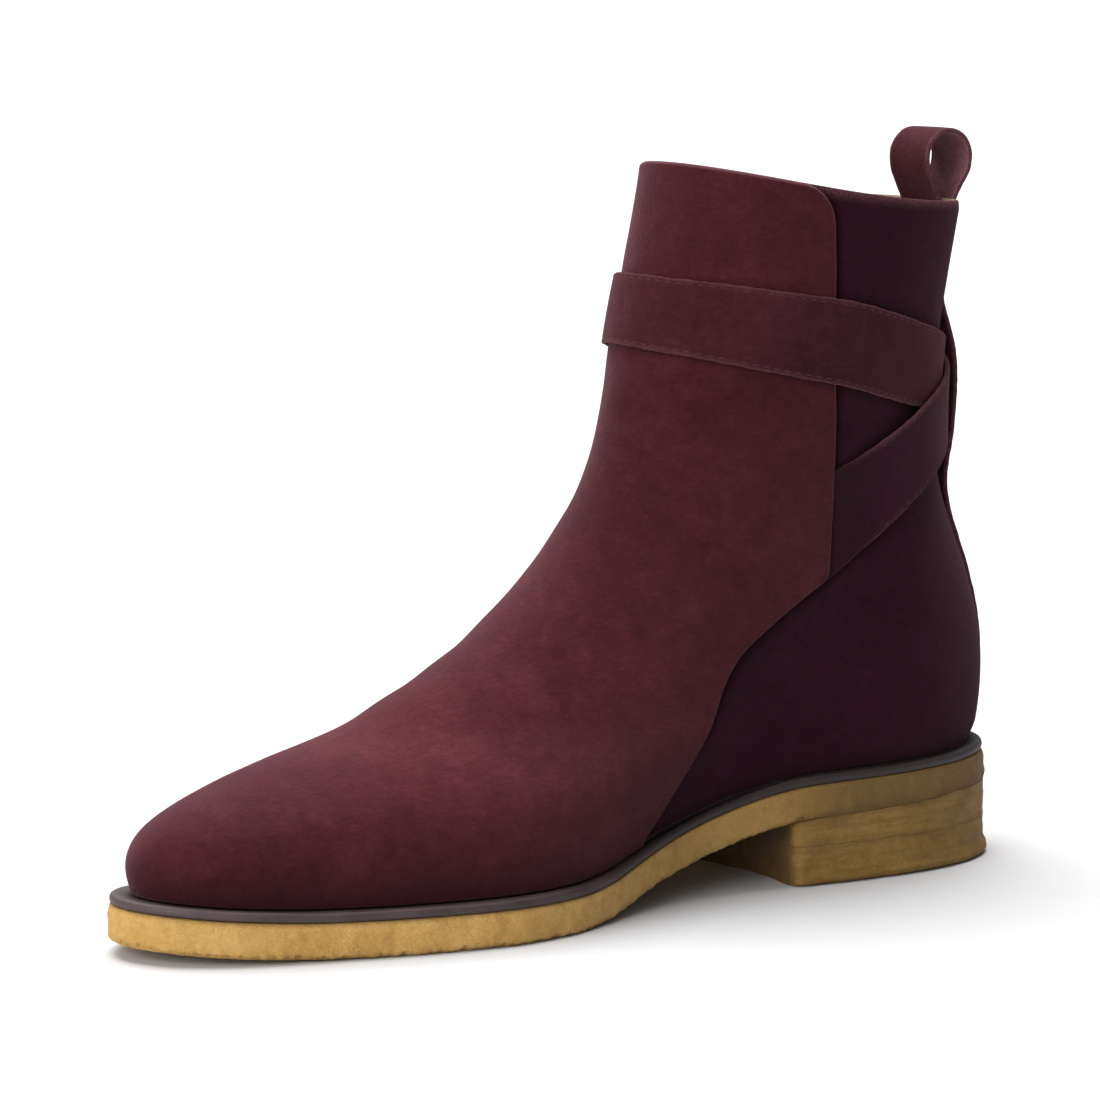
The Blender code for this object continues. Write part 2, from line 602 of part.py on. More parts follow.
# frame of the buckle: e1 along the strap towards the tongue, e2 across, e3 outwards
_phi = np.array([BUCKLE_AT[0] * RAD])
_lev = level_at(_phi, np.array([BUCKLE_AT[1]]))
B0 = skin(_phi, _lev)[0]
B3 = skin_normal(_phi, _lev)[0]
_a = skin(_phi + 0.1, level_at(_phi + 0.1, np.array([BUCKLE_AT[1] - 1.2])))[0]
_b = skin(_phi - 0.1, level_at(_phi - 0.1, np.array([BUCKLE_AT[1] + 1.2])))[0]
B1 = _a - _b
B1 -= B3 * (B1 @ B3)
B1 /= np.linalg.norm(B1)
B2 = np.cross(B3, B1)
if B2[2] < 0:
    B2 = -B2


def at_buckle(u, w, h):
    """A point u along, w across and h above the boot's side at the buckle."""
    u, w, h = np.broadcast_arrays(np.asarray(u, float), np.asarray(w, float), np.asarray(h, float))
    return B0 + u[..., None] * B1 + w[..., None] * B2 + h[..., None] * B3


def drop(u, w):
    """How far the boot's side falls away below the buckle's plane at (u, w)."""
    p = at_buckle(u, w, 0.0)
    phi = np.full(np.shape(u), _phi[0])
    for _ in range(12):
        v = level_at(phi, p[..., 2])
        e = skin(phi, v)
        f = skin(phi + 1e-3, v)
        t = (f - e) / 1e-3
        phi = phi + np.sum((p - e) * t, -1) / np.sum(t * t, -1)
    v = level_at(phi, p[..., 2])
    return -np.sum((skin(phi, v) - p) * B3, -1)


run = np.array(BUCKLE_RUN, float)
dense = natural(run[:, 0], run[:, 1:], np.linspace(run[0, 0], run[-4, 0], 26))
dense = np.concatenate([np.linspace(run[0, 0], run[-4, 0], 26)[:, None], dense], 1)
dense = np.concatenate([dense, run[-3:]])
through = []
for u, mid, half, under in dense:
    w = mid + half * np.array([-1.0, 0.0, 1.0])
    fall = drop(np.full(3, u), w)
    h = under - fall * min(abs(u) / 11.0, 1.0)
    through.append(np.concatenate([at_buckle(np.full(3, u), w, h), at_buckle(np.full(3, u), w, h + STRAP)[::-1]]))
inner_rows = denser(STRAP_INNER, 6.6)
wrap_part = [strap_section(r, STRAP, -1 if r[0] < -20 else 0) for r in inner_rows]
ribbon("strap_tongue", wrap_part + through, suede_strap)


# ------------------------------------------------------------------ buckle
def at_world(p):
    return [float(c) for c in world(p)]


def helper(ob):
    ob.hide_render = True
    ob.display_type = "WIRE"
    return ob


def slab(name, us, ws, h0, h1, holes, mat):
    """A plate on grid lines in the buckle's frame, some cells left open."""
    index, verts, faces = {}, [], []

    def vid(i, j, k):
        if (i, j, k) not in index:
            index[(i, j, k)] = len(verts)
            verts.append(at_buckle(us[i], ws[j], (h0, h1)[k]))
        return index[(i, j, k)]

    cells = {(i, j) for i in range(len(us) - 1) for j in range(len(ws) - 1)} - set(holes)
    for i, j in cells:
        faces.append((vid(i, j, 1), vid(i + 1, j, 1), vid(i + 1, j + 1, 1), vid(i, j + 1, 1)))
        faces.append((vid(i, j, 0), vid(i, j + 1, 0), vid(i + 1, j + 1, 0), vid(i + 1, j, 0)))
        for di, dj, a, c in ((-1, 0, (i, j), (i, j + 1)), (1, 0, (i + 1, j), (i + 1, j + 1)),
                             (0, -1, (i, j), (i + 1, j)), (0, 1, (i, j + 1), (i + 1, j + 1))):
            if (i + di, j + dj) not in cells:
                faces.append((vid(*a, 0), vid(*c, 0), vid(*c, 1), vid(*a, 1)))
    return build(name, np.array(verts), faces, mat, 35.0)


hl, hw, bb = BUCKLE_LONG / 2, BUCKLE_WIDE / 2, BUCKLE_BAR
frame = slab("buckle_frame", [-hl, -hl + bb, hl - bb, hl], [-hw, -hw + bb, hw - bb, hw],
             BUCKLE_UNDER, BUCKLE_UNDER + BUCKLE_THICK, {(1, 1)}, pale_gold)
bar = helper(slab("bar_shape", [-1.25, 1.25], [-hw + bb - 1.2, hw - bb + 1.2],
                  CENTRE_BAR[0], CENTRE_BAR[1], set(), pale_gold))
mod = frame.modifiers.new("centre_bar", "BOOLEAN")
mod.operation, mod.solver, mod.object = "UNION", "EXACT", bar
bev = frame.modifiers.new("soft_edges", "BEVEL")
bev.width, bev.segments, bev.limit_method, bev.angle_limit = 0.0007, 2, "ANGLE", math.radians(40)
bev.use_clamp_overlap = True


def tube(name, rows, sides, mat):
    """Round bar along (u, h) rows with a radius each, in the plane w = 0."""
    r = np.array(rows, float)
    d = np.gradient(r[:, :2], axis=0)
    d /= np.linalg.norm(d, axis=1, keepdims=True)
    a = np.arange(sides) / sides * 2 * math.pi
    rings = []
    for (u, h, rad), (du, dh) in zip(r, d):
        rings.append(at_buckle(u - dh * rad * np.cos(a), rad * np.sin(a), h + du * rad * np.cos(a)))
    return ribbon(name, rings, mat, 60.0)


tube("buckle_prong", PRONG, 10, pale_gold)
_n = 20
_a = np.arange(_n) / _n * 2 * math.pi
hole = helper(ribbon("hole_shape", [at_buckle(0.0 + 1.4 * np.cos(_a), 1.4 * np.sin(_a), h) for h in (3.5, 9.5)],
                     suede_strap))
mod = bpy.data.objects["strap_tongue"].modifiers.new("hole", "BOOLEAN")
mod.operation, mod.solver, mod.object = "DIFFERENCE", "EXACT", hole

# ------------------------------------------------------------------ strip up the back
COLS = np.array([-1.0, -0.5, 0.0, 0.5, 1.0]) * STAY_WIDTH / 2


def stay_section(z, lift):
    v0 = float(level_at(np.array(0.0), np.array(z)))
    half = float(table2(RINGS, np.array(v0), np.array(0.0)))
    phi = np.arcsin(np.clip(COLS / half, -0.95, 0.95))
    v = level_at(phi, np.full(len(COLS), z))
    return np.concatenate([off(phi, v, np.full(len(COLS), lift)), off(phi, v, np.full(len(COLS), lift + STAY))[::-1]])


ribbon("back_stay", [stay_section(z, lift) for z, lift in STAY_ROWS], suede_strap)

# ------------------------------------------------------------------ pull loop
def back_s(z):
    return float(skin(np.array(0.0), level_at(np.array(0.0), np.array(z)))[1])


top_s, top_z = back_curve(1.0)
path = []
for z in np.linspace(167.8, top_z - 1.0, 6):
    path.append((back_s(z) - 0.7 - STAY / 2, z))
path += [(top_s + ds, top_z + dz) for ds, dz in LOOP_ROWS]
for z in np.linspace(top_z - 1.0, 170.0, 5):
    path.append((back_s(z) + WALL * 1.03 + 0.7 + STAY / 2, z))
path = np.array(path)
_k = np.concatenate([[0], np.cumsum(np.hypot(*np.diff(path, axis=0).T))])
_fine = natural(_k, path, np.linspace(0, _k[-1], 27))
_d = np.gradient(_fine, axis=0)
_d /= np.linalg.norm(_d, axis=1, keepdims=True)
rows = []
for (s_, z_), (ds, dz) in zip(_fine, _d):
    zz = min(z_, float(top_z) - 0.5)
    v0 = level_at(np.zeros(len(COLS)), np.full(len(COLS), zz))
    half = table2(RINGS, v0, np.zeros(len(COLS)))
    phi = np.arcsin(np.clip(COLS / half, -0.95, 0.95))
    bow = skin(phi, level_at(phi, np.full(len(COLS), zz)))[:, 1] - back_s(zz)
    bow = bow * (1.0 - 0.5 * np.clip((z_ - top_z) / 10.0, 0, 1))
    mid = float(table2(MIDDLE, v0, np.zeros(len(COLS)))[0])
    nrm = np.array([-dz, ds]) * STAY / 2
    one = np.stack([COLS + mid, s_ + bow + nrm[0], np.full(len(COLS), z_ + nrm[1])], -1)
    two = np.stack([COLS + mid, s_ + bow - nrm[0], np.full(len(COLS), z_ - nrm[1])], -1)
    rows.append(np.concatenate([one, two[::-1]]))
ribbon("pull_loop", rows, suede_loop)
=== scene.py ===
# Jodhpur boot, right foot, standing empty on its sole: the finished surfaces.
#
# World frame: metres, +Z up, floor at z = 0, toe towards -Y, inner (medial) side
# towards +X.  Inside the functions below lengths are millimetres: "s" runs forward
# from the back of the heel, "x" to the medial side and "z" up from the floor.
import math

import bmesh
import bpy
import numpy as np
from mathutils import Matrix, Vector

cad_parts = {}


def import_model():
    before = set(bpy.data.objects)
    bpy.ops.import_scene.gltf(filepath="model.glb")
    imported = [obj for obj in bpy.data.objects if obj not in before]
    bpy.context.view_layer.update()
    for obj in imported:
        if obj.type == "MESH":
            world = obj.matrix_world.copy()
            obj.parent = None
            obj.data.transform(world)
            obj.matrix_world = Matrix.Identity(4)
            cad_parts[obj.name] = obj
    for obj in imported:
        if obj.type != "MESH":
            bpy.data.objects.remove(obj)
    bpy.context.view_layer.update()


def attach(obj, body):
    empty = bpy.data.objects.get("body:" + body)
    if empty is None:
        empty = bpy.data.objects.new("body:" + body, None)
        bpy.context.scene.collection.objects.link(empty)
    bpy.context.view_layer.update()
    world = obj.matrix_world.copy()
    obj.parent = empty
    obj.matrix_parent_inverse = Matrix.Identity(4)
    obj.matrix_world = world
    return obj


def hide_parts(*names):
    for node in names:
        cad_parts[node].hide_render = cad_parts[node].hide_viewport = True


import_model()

# ------------------------------------------------------------------ driving sizes
SOLE_LENGTH = 300.0        # outsole, back of heel to toe
HEEL_HEIGHT = 19.0         # lift and top piece together
HEEL_LENGTH = 92.0         # back of heel to the breast
BREAST_HOLLOW = 8.0        # how far the breast curves in
TOP_PIECE = 11.3           # thickness of the wearing layer of the heel
OUTSOLE = 10.0             # thickness of the crepe outsole
WELT = 2.7                 # thickness of the dark strip above it
GAP = 0.3                  # clearance between neighbouring pieces
WALL = 2.1                 # upper with its lining
PANEL = 1.3                # front panel laid over the upper
STRAP = 1.6                # ankle strap
STAY = 1.5                 # strip down the back
STRAP_WIDTH = 18.0
STAY_WIDTH = 17.0
WELT_REACH_HEEL = 2.6      # sole edge outside the feather line at the heel
WELT_REACH_WAIST = 2.4
WELT_REACH_TOE = 5.2
REAR = -3.16               # rearmost point, on the strip over the heel

# side profile of the upper, back of heel, feather to collar
BACK = [  # s, z
    (3.3, 32.3), (0.5, 40.0), (-1.1, 50.0), (-0.9, 63.0), (2.6, 78.0), (8.2, 92.0),
    (13.4, 104.0), (17.0, 116.0), (18.6, 132.0), (17.5, 152.0), (14.0, 173.0), (10.5, 192.0),
]
# side profile of the upper, toe feather over the vamp and instep to the collar
FRONT = [  # s, z
    (294.5, 16.4), (295.4, 22.2), (293.3, 29.0), (286.5, 35.0), (276.5, 39.4),
    (261.0, 44.1), (241.0, 48.9), (221.0, 54.4), (206.5, 61.4), (188.0, 70.4),
    (171.0, 81.4), (158.2, 91.2), (149.1, 100.0), (141.4, 109.6), (135.3, 120.2),
    (130.9, 133.0), (127.2, 149.0), (120.2, 175.0), (113.0, 206.0),
]
# rings from the feather line (level 0) to the collar (level 1): half-width of the
# upper as the factor of sin(phi), at six stations along each ring
RING_AT = (0.0, 0.12, 0.28, 0.46, 0.66, 0.84, 1.0)
RINGS = [  # level, back, heel, waist, arch, joint, toe, tip
    (0.00, 66.0, 52.5, 38.0, 35.0, 50.0, 46.5, 48.0),
    (0.10, 56.0, 53.0, 39.5, 38.0, 48.0, 46.0, 46.0),
    (0.25, 47.0, 49.0, 39.5, 36.0, 38.5, 39.5, 41.0),
    (0.40, 41.0, 43.0, 37.0, 33.5, 33.5, 34.0, 34.0),
    (0.55, 39.0, 39.5, 36.0, 33.5, 32.5, 32.0, 31.0),
    (0.70, 36.5, 37.0, 35.5, 34.5, 33.0, 31.5, 31.0),
    (0.85, 36.5, 37.0, 36.5, 35.5, 34.5, 33.5, 33.0),
    (1.00, 38.0, 38.0, 37.5, 37.0, 36.5, 36.0, 35.0),
]
# the same rings: how far the middle line lies to the medial side
MIDDLE = [  # level, back, heel, waist, arch, joint, toe, tip
    (0.00, -1.0, -1.0, -1.0, -3.0, 3.0, 6.5, 8.0),
    (0.12, -0.5, -0.5, -0.5, -2.0, 3.5, 6.5, 7.5),
    (0.30, 0.0, 0.0, 0.0, 0.0, 3.0, 5.5, 6.5),
    (0.50, 0.0, 0.0, 0.0, 0.5, 2.5, 4.0, 5.0),
    (0.75, 0.0, 0.0, 0.0, 0.5, 1.5, 2.0, 2.0),
    (1.00, 0.0, 0.0, 0.0, 0.0, 0.5, 1.0, 1.0),
]
# rear edge of the front panel: seam with the quarter, then the free flap edge
PANEL_EDGE = [  # z, s on the medial side, s on the lateral side
    (14.0, 148.0, 154.5), (22.0, 144.0, 153.5), (30.0, 138.5, 151.5), (42.0, 130.8, 147.0),
    (51.0, 124.2, 141.5), (60.0, 118.8, 134.5), (67.0, 113.2, 127.5), (73.0, 105.5, 119.0),
    (77.2, 98.4, 109.0), (81.7, 90.1, 97.0), (84.6, 84.7, 90.4), (86.6, 80.9, 86.0),
    (87.8, 79.0, 83.7), (88.8, 78.7, 81.8), (90.4, 78.5, 79.3), (91.8, 78.5, 78.5), (94.0, 78.4, 78.4),
    (150.0, 78.4, 78.4), (188.0, 78.4, 78.4), (192.0, 78.9, 78.9),
    (195.8, 80.6, 80.6), (198.6, 83.2, 83.2), (200.6, 86.8, 86.8), (202.0, 91.0, 91.0), (207.0, 104.0, 104.0),
]
# straps, each section from its lower to its upper corner; lift is the gap under it
STRAP_OUTER = [  # lower phi, lower z, upper phi, upper z, lift
    (75.4, 87.6, 90.5, 118.4, 0.6), (69.9, 93.4, 81.5, 121.6, 0.8), (62.9, 100.6, 73.0, 126.2, 1.6),
    (54.5, 108.3, 63.5, 131.2, 2.5), (44.1, 115.5, 52.5, 136.6, 2.7), (30.0, 121.8, 36.5, 142.4, 2.7),
    (15.0, 126.3, 19.0, 147.3, 2.7), (0.0, 128.7, 1.5, 150.3, 2.7), (-15.0, 129.8, -15.0, 151.6, 2.7),
    (-30.0, 129.9, -30.5, 151.7, 2.7), (-43.0, 130.0, -44.0, 151.4, 2.7), (-54.0, 130.8, -55.0, 151.4, 2.5),
    (-63.0, 132.4, -64.0, 151.8, 1.4), (-71.0, 134.4, -72.0, 153.0, 0.7), (-79.0, 136.4, -80.0, 154.4, 0.6),
    (-87.0, 138.2, -88.0, 156.0, 0.6),
]
STRAP_INNER = [  # the same columns
    (-75.4, 88.4, -90.5, 117.6, 0.6), (-69.9, 91.4, -80.5, 119.2, 0.6), (-62.9, 95.9, -71.5, 121.7, 0.6),
    (-54.5, 101.1, -62.5, 125.4, 0.6), (-44.1, 107.6, -52.0, 130.5, 0.6), (-30.0, 116.0, -37.0, 138.2, 0.6),
    (-15.0, 123.2, -19.5, 145.4, 0.6), (0.0, 127.9, -1.5, 149.9, 0.6), (15.0, 130.0, 15.0, 152.0, 0.6),
    (30.0, 131.4, 30.0, 153.6, 0.6), (45.0, 133.4, 45.0, 156.2, 0.6), (60.0, 135.8, 60.0, 159.2, 0.6),
    (72.0, 138.2, 72.0, 161.8, 0.8), (84.0, 140.9, 84.0, 164.5, 1.6), (94.0, 143.2, 94.0, 166.7, 2.05),
    (104.0, 145.0, 104.0, 168.3, 1.9), (116.0, 147.2, 116.0, 169.8, 1.9), (130.0, 149.6, 130.0, 171.4, 1.9),
    (145.0, 151.8, 145.0, 172.8, 1.9), (160.0, 153.2, 160.0, 173.6, 1.9), (175.0, 154.2, 175.0, 174.2, 1.9),
    (190.0, 154.4, 190.0, 174.2, 1.9), (205.0, 153.6, 205.0, 173.2, 1.9), (220.0, 152.0, 220.0, 171.2, 1.9),
    (235.0, 149.4, 235.0, 168.4, 1.9), (247.0, 146.8, 247.0, 165.6, 2.0), (255.0, 144.8, 255.0, 163.4, 2.2),
]
# the same strap through the buckle and on to its tongue, measured from the buckle's
# middle: along the strap towards the tongue, across, height of its underside
BUCKLE_RUN = [  # along, middle across, half width, under
    (-14.5, 0.7, 9.2, 2.3), (-11.5, 0.3, 8.9, 2.3), (-8.8, 0.1, 8.8, 2.4), (-6.0, 0.0, 8.8, 3.8),
    (-3.2, 0.0, 8.8, 5.3), (0.0, 0.0, 8.8, 5.7), (3.2, 0.0, 8.8, 5.2), (6.0, 0.0, 8.8, 3.7),
    (8.8, 0.0, 8.8, 2.55), (11.5, 0.0, 8.9, 2.6), (15.0, 0.0, 9.1, 2.9), (20.0, 0.0, 9.3, 3.6),
    (25.0, 0.0, 9.3, 4.5), (29.0, 0.0, 8.9, 4.8), (31.8, 0.0, 7.4, 4.8), (33.6, 0.0, 4.8, 4.8),
    (34.4, 0.0, 1.8, 4.8),
]
BUCKLE_AT = (-84.5, 147.9)   # phi and z of the middle of the buckle
BUCKLE_LONG = 21.0           # along the strap
BUCKLE_WIDE = 24.0           # across it
BUCKLE_BAR = 2.8
BUCKLE_UNDER = 4.6           # underside of the outer bars above the boot's side
BUCKLE_THICK = 2.8
CENTRE_BAR = (3.1, 5.2)      # underside and top of the centre bar
PRONG = [  # along, height, radius
    (0.1, 5.55, 0.8), (0.1, 5.75, 1.0), (0.0, 7.2, 1.0), (-0.4, 8.2, 1.0), (-1.6, 8.85, 1.0),
    (-4.0, 9.0, 1.0), (-8.0, 8.85, 0.95), (-11.0, 8.75, 0.9), (-12.7, 8.55, 0.85), (-13.2, 8.5, 0.5),
]
# strip up the back, bowed out over the crossing straps
STAY_ROWS = [  # z, gap under it
    (36.4, 0.4), (41.0, 0.4), (47.0, 0.4), (54.0, 0.4), (62.0, 0.4), (70.0, 0.4), (78.0, 0.4),
    (86.0, 0.4), (94.0, 0.5), (101.0, 0.9), (107.0, 1.9), (112.5, 3.5), (117.5, 5.2), (122.5, 6.5),
    (128.0, 7.4), (134.0, 7.9), (140.0, 8.0), (146.0, 7.5), (151.5, 6.3), (156.0, 4.6), (160.0, 2.8),
    (163.6, 1.3), (167.3, 0.6),
]
# pull loop above it: outside of the collar, over the top and down the inside
LOOP_ROWS = [  # ahead of the collar's back point, z above it
    (-2.6, 2.8), (-5.0, 6.6), (-6.8, 10.8), (-6.7, 15.0), (-4.6, 18.4), (-0.9, 20.3),
    (3.3, 20.3), (6.9, 18.3), (9.1, 15.0), (9.3, 10.8), (7.6, 6.6), (5.4, 2.8),
]
# bottom of the outsole over its length
SOLE_RISE = [  # s, z
    (-5.0, 21.2), (20.0, 20.5), (50.0, 19.5), (78.0, 19.0), (90.0, 18.3), (105.0, 15.8), (120.0, 12.1), (135.0, 8.0),
    (150.0, 4.1), (165.0, 1.1), (180.0, 0.0), (235.0, 0.0), (255.0, 0.35),
    (275.0, 1.4), (305.0, 4.3),
]


# ------------------------------------------------------------------ small maths
def monotone(table, x, col=1):
    """Monotone cubic through rows (x, y)."""
    xs = np.array([r[0] for r in table], float)
    ys = np.array([r[col] for r in table], float)
    h = np.diff(xs)
    d = np.diff(ys) / h
    m = np.zeros_like(ys)
    for i in range(1, len(xs) - 1):
        if d[i - 1] * d[i] > 0:
            w1, w2 = 2 * h[i] + h[i - 1], h[i] + 2 * h[i - 1]
            m[i] = (w1 + w2) / (w1 / d[i - 1] + w2 / d[i])
    m[0], m[-1] = d[0], d[-1]
    x = np.clip(np.asarray(x, float), xs[0], xs[-1])
    i = np.clip(np.searchsorted(xs, x, side="right") - 1, 0, len(xs) - 2)
    t = (x - xs[i]) / h[i]
    return ((2 * t**3 - 3 * t**2 + 1) * ys[i] + (t**3 - 2 * t**2 + t) * h[i] * m[i]
            + (3 * t**2 - 2 * t**3) * ys[i + 1] + (t**3 - t**2) * h[i] * m[i + 1])


def natural(xs, ys, x):
    """Natural cubic spline, ys may hold several columns."""
    xs, ys = np.asarray(xs, float), np.asarray(ys, float)
    n = len(xs)
    h = np.diff(xs)
    a = np.zeros((n, n))
    b = np.zeros((n,) + ys.shape[1:])
    a[0, 0] = a[-1, -1] = 1.0
    for i in range(1, n - 1):
        a[i, i - 1], a[i, i], a[i, i + 1] = h[i - 1], 2 * (h[i - 1] + h[i]), h[i]
        b[i] = 6 * ((ys[i + 1] - ys[i]) / h[i] - (ys[i] - ys[i - 1]) / h[i - 1])
    m = np.linalg.solve(a, b)
    x = np.clip(np.asarray(x, float), xs[0], xs[-1])
    i = np.clip(np.searchsorted(xs, x, side="right") - 1, 0, n - 2)
    hi = h[i]
    u, w = (xs[i + 1] - x) / hi, (x - xs[i]) / hi
    if ys.ndim > 1:
        u, w, hi = u[..., None], w[..., None], hi[..., None]
    return (u * ys[i] + w * ys[i + 1]
            + ((u**3 - u) * m[i] + (w**3 - w) * m[i + 1]) * hi * hi / 6)


def by_length(points):
    """A smooth curve through points as a function of 0..1 of its length."""
    p = np.array(points, float)
    k = np.concatenate([[0], np.cumsum(np.hypot(*np.diff(p, axis=0).T))])
    fine = natural(k, p, np.linspace(0, k[-1], 600))
    f = np.concatenate([[0], np.cumsum(np.hypot(*np.diff(fine, axis=0).T))])
    f /= f[-1]
    return lambda v: np.stack([np.interp(v, f, fine[:, 0]), np.interp(v, f, fine[:, 1])], -1)


back_curve, front_curve = by_length(BACK), by_length(FRONT)


def sole_rise(s):
    return monotone(SOLE_RISE, s)


def feather_z(s):
    return sole_rise(s) + OUTSOLE + WELT + 2 * GAP


def table2(rows, level, t):
    """Value of a ring table at a level and a station."""
    levels = [r[0] for r in rows]
    cols = natural(levels, np.array([r[1:] for r in rows], float), level)
    out = np.zeros(np.shape(t))
    flat_l, flat_t = np.broadcast_arrays(level, t)
    cols = np.broadcast_to(cols, flat_l.shape + (len(RING_AT),))
    out = np.zeros(flat_t.shape)
    basis = natural(RING_AT, np.eye(len(RING_AT)), flat_t)
    return np.sum(basis * cols, -1)


def side_view(v, t):
    """Ring v at fraction t from its back to its front, as (s, z)."""
    v, t = np.broadcast_arrays(np.asarray(v, float), np.asarray(t, float))
    b, f = back_curve(v), front_curve(v)
    b0, b1, f0, f1 = back_curve(0.0), back_curve(1.0), front_curve(0.0), front_curve(1.0)
    tt, vv = t[..., None], v[..., None]
    s_low = b0[0] + (f0[0] - b0[0]) * t
    low = np.stack([s_low, feather_z(s_low)], -1)
    top_line = b1 + (f1 - b1) * tt
    # the collar dips a little behind its middle
    top_line[..., 1] -= 3.0 * np.sin(math.pi * t)
    sheet = (1 - tt) * b + tt * f + (1 - vv) * low + vv * top_line
    return sheet - ((1 - vv) * ((1 - tt) * b0 + tt * f0) + vv * ((1 - tt) * b1 + tt * f1))


def skin(phi, v):
    """Outside of the upper; phi 0 at the back, 90 degrees on the medial side."""
    phi, v = np.broadcast_arrays(np.asarray(phi, float), np.asarray(v, float))
    t = (1 - np.cos(phi)) / 2
    sz = side_view(v, t)
    x = table2(MIDDLE, v, t) + table2(RINGS, v, t) * np.sin(phi)
    return np.stack([x, sz[..., 0], sz[..., 1]], -1)


def skin_normal(phi, v):
    e = 1e-3
    v = np.asarray(v, float)
    lo, hi = np.clip(v - e, 0, 1), np.clip(v + e, 0, 1)
    a = skin(phi + e, v) - skin(phi - e, v)
    b = skin(phi, hi) - skin(phi, lo)
    n = np.cross(a, b)
    n /= np.linalg.norm(n, axis=-1, keepdims=True)
    return n


def off(phi, v, lift):
    """A point lifted off the skin."""
    lift = np.asarray(lift, float)
    return skin(phi, v) + skin_normal(phi, v) * lift[..., None]


def level_at(phi, z):
    """The ring level at which the skin has height z."""
    phi, z = np.broadcast_arrays(np.asarray(phi, float), np.asarray(z, float))
    t = (1 - np.cos(phi)) / 2
    lo, hi = np.zeros(phi.shape), np.ones(phi.shape)
    for _ in range(40):
        mid = (lo + hi) / 2
        under = side_view(mid, t)[..., 1] < z
        lo, hi = np.where(under, mid, lo), np.where(under, hi, mid)
    return (lo + hi) / 2


def panel_phi(v, side=1):
    """Angle of the front panel's rear edge on ring v, 1 medial and 2 lateral."""
    v = np.asarray(v, float)
    lo, hi = np.full(v.shape, 0.02), np.full(v.shape, 3.1)
    for _ in range(40):
        mid = (lo + hi) / 2
        sz = side_view(v, (1 - np.cos(mid)) / 2)
        behind = sz[..., 0] < monotone(PANEL_EDGE, sz[..., 1], side)
        lo, hi = np.where(behind, mid, lo), np.where(behind, hi, mid)
    return (lo + hi) / 2


def grid_angles(n):
    """Angles round a ring, a little closer together along the sides."""
    th = np.arange(n) / n * 2 * math.pi
    return th + 0.10 * np.sin(2 * th)


def plan_ring(phi, reach):
    """Feather outline widened by reach, as (x, s)."""
    e = 1e-3
    p = skin(phi, 0.0)[..., :2]
    d = skin(phi + e, 0.0)[..., :2] - skin(phi - e, 0.0)[..., :2]
    n = np.stack([d[..., 1], -d[..., 0]], -1)
    n /= np.linalg.norm(n, axis=-1, keepdims=True)
    return p + n * np.asarray(reach)[..., None]


def sole_reach(phi):
    t = (1 - np.cos(phi)) / 2
    return monotone([(0.0, WELT_REACH_HEEL), (0.25, WELT_REACH_WAIST),
                     (0.45, WELT_REACH_WAIST + 0.4), (0.62, 4.6), (0.8, WELT_REACH_TOE),
                     (1.0, WELT_REACH_TOE)], t)


def sole_ring(phi, inset=0.0):
    """Edge of the sole; cut full at the toe and at the inner back of the heel."""
    phi = np.asarray(phi, float)
    turn = np.arctan2(np.sin(phi - 0.25), np.cos(phi - 0.25))
    toe = np.arctan2(np.sin(phi - math.pi - 0.15), np.cos(phi - math.pi - 0.15))
    swell = 1.5 * np.exp(-(toe / 0.5) ** 2) + 0.9 * np.exp(-(turn / 0.6) ** 2)
    return plan_ring(phi, sole_reach(phi) + swell - inset)


_turn = np.linspace(0, 2 * math.pi, 721)
_probe = plan_ring(_turn, sole_reach(_turn))
X_MID = 0.5 * (_probe[:, 0].max() + _probe[:, 0].min())
S_BACK, S_TOE = _probe[:, 1].min(), _probe[:, 1].max()
S_MID = 0.5 * (REAR + S_TOE)


def world(p):
    """(x, s, z) in millimetres to the world in metres."""
    p = np.asarray(p, float)
    return np.stack([p[..., 0] - X_MID, S_MID - p[..., 1], p[..., 2]], -1) * 0.001


# ------------------------------------------------------------------ surface relief
RAD = math.pi / 180.0


def wave_set(n, seed):
    r = np.random.RandomState(seed)
    d = r.normal(size=(n, 3))
    d /= np.linalg.norm(d, axis=1, keepdims=True)
    return d * r.uniform(0.6, 1.5, (n, 1)), r.uniform(0, 2 * math.pi, n)


WAVES = {k: wave_set(14, k) for k in range(1, 12)}


def wobble(p, size, seed):
    """Smooth irregular values, about -1..1, features of the given size in mm."""
    d, ph = WAVES[seed]
    q = np.tensordot(np.asarray(p, float), d.T, axes=([-1], [0])) * (2 * math.pi / size) + ph
    return np.sin(q).sum(-1) / math.sqrt(len(ph)) / 1.1


# soft troughs (negative) and ridges (positive) of the leather, side +1 medial, -1 lateral, 0 both
CREASES = [  # side, s, z, turn in degrees from the toe direction, half length, half width, height
    (0, 196.0, 60.0, 78.0, 16.0, 8.0, -0.55),
    (0, 176.0, 66.0, 72.0, 18.0, 7.0, -0.40),
    (0, 206.0, 50.0, 80.0, 13.0, 6.0, 0.30),
    (1, 120.0, 92.0, 55.0, 26.0, 9.0, -0.55),
    (1, 104.0, 74.0, 52.0, 15.0, 5.0, 0.50),
    (-1, 118.0, 96.0, 50.0, 24.0, 9.0, -0.60),
    (1, 60.0, 74.0, 20.0, 24.0, 8.0, -0.60),
    (-1, 58.0, 72.0, 12.0, 26.0, 8.0, -0.60),
    (1, 46.0, 56.0, 8.0, 22.0, 7.0, 0.35),
    (-1, 44.0, 54.0, 4.0, 24.0, 7.0, 0.35),
    (0, 150.0, 40.0, 10.0, 30.0, 9.0, -0.35),
    (0, 262.0, 43.5, -13.5, 36.0, 9.0, -0.75),
    (0, 147.0, 103.0, -50.0, 22.0, 9.0, 0.65),
    (0, 128.5, 142.0, -78.0, 18.0, 9.0, -0.45),
]


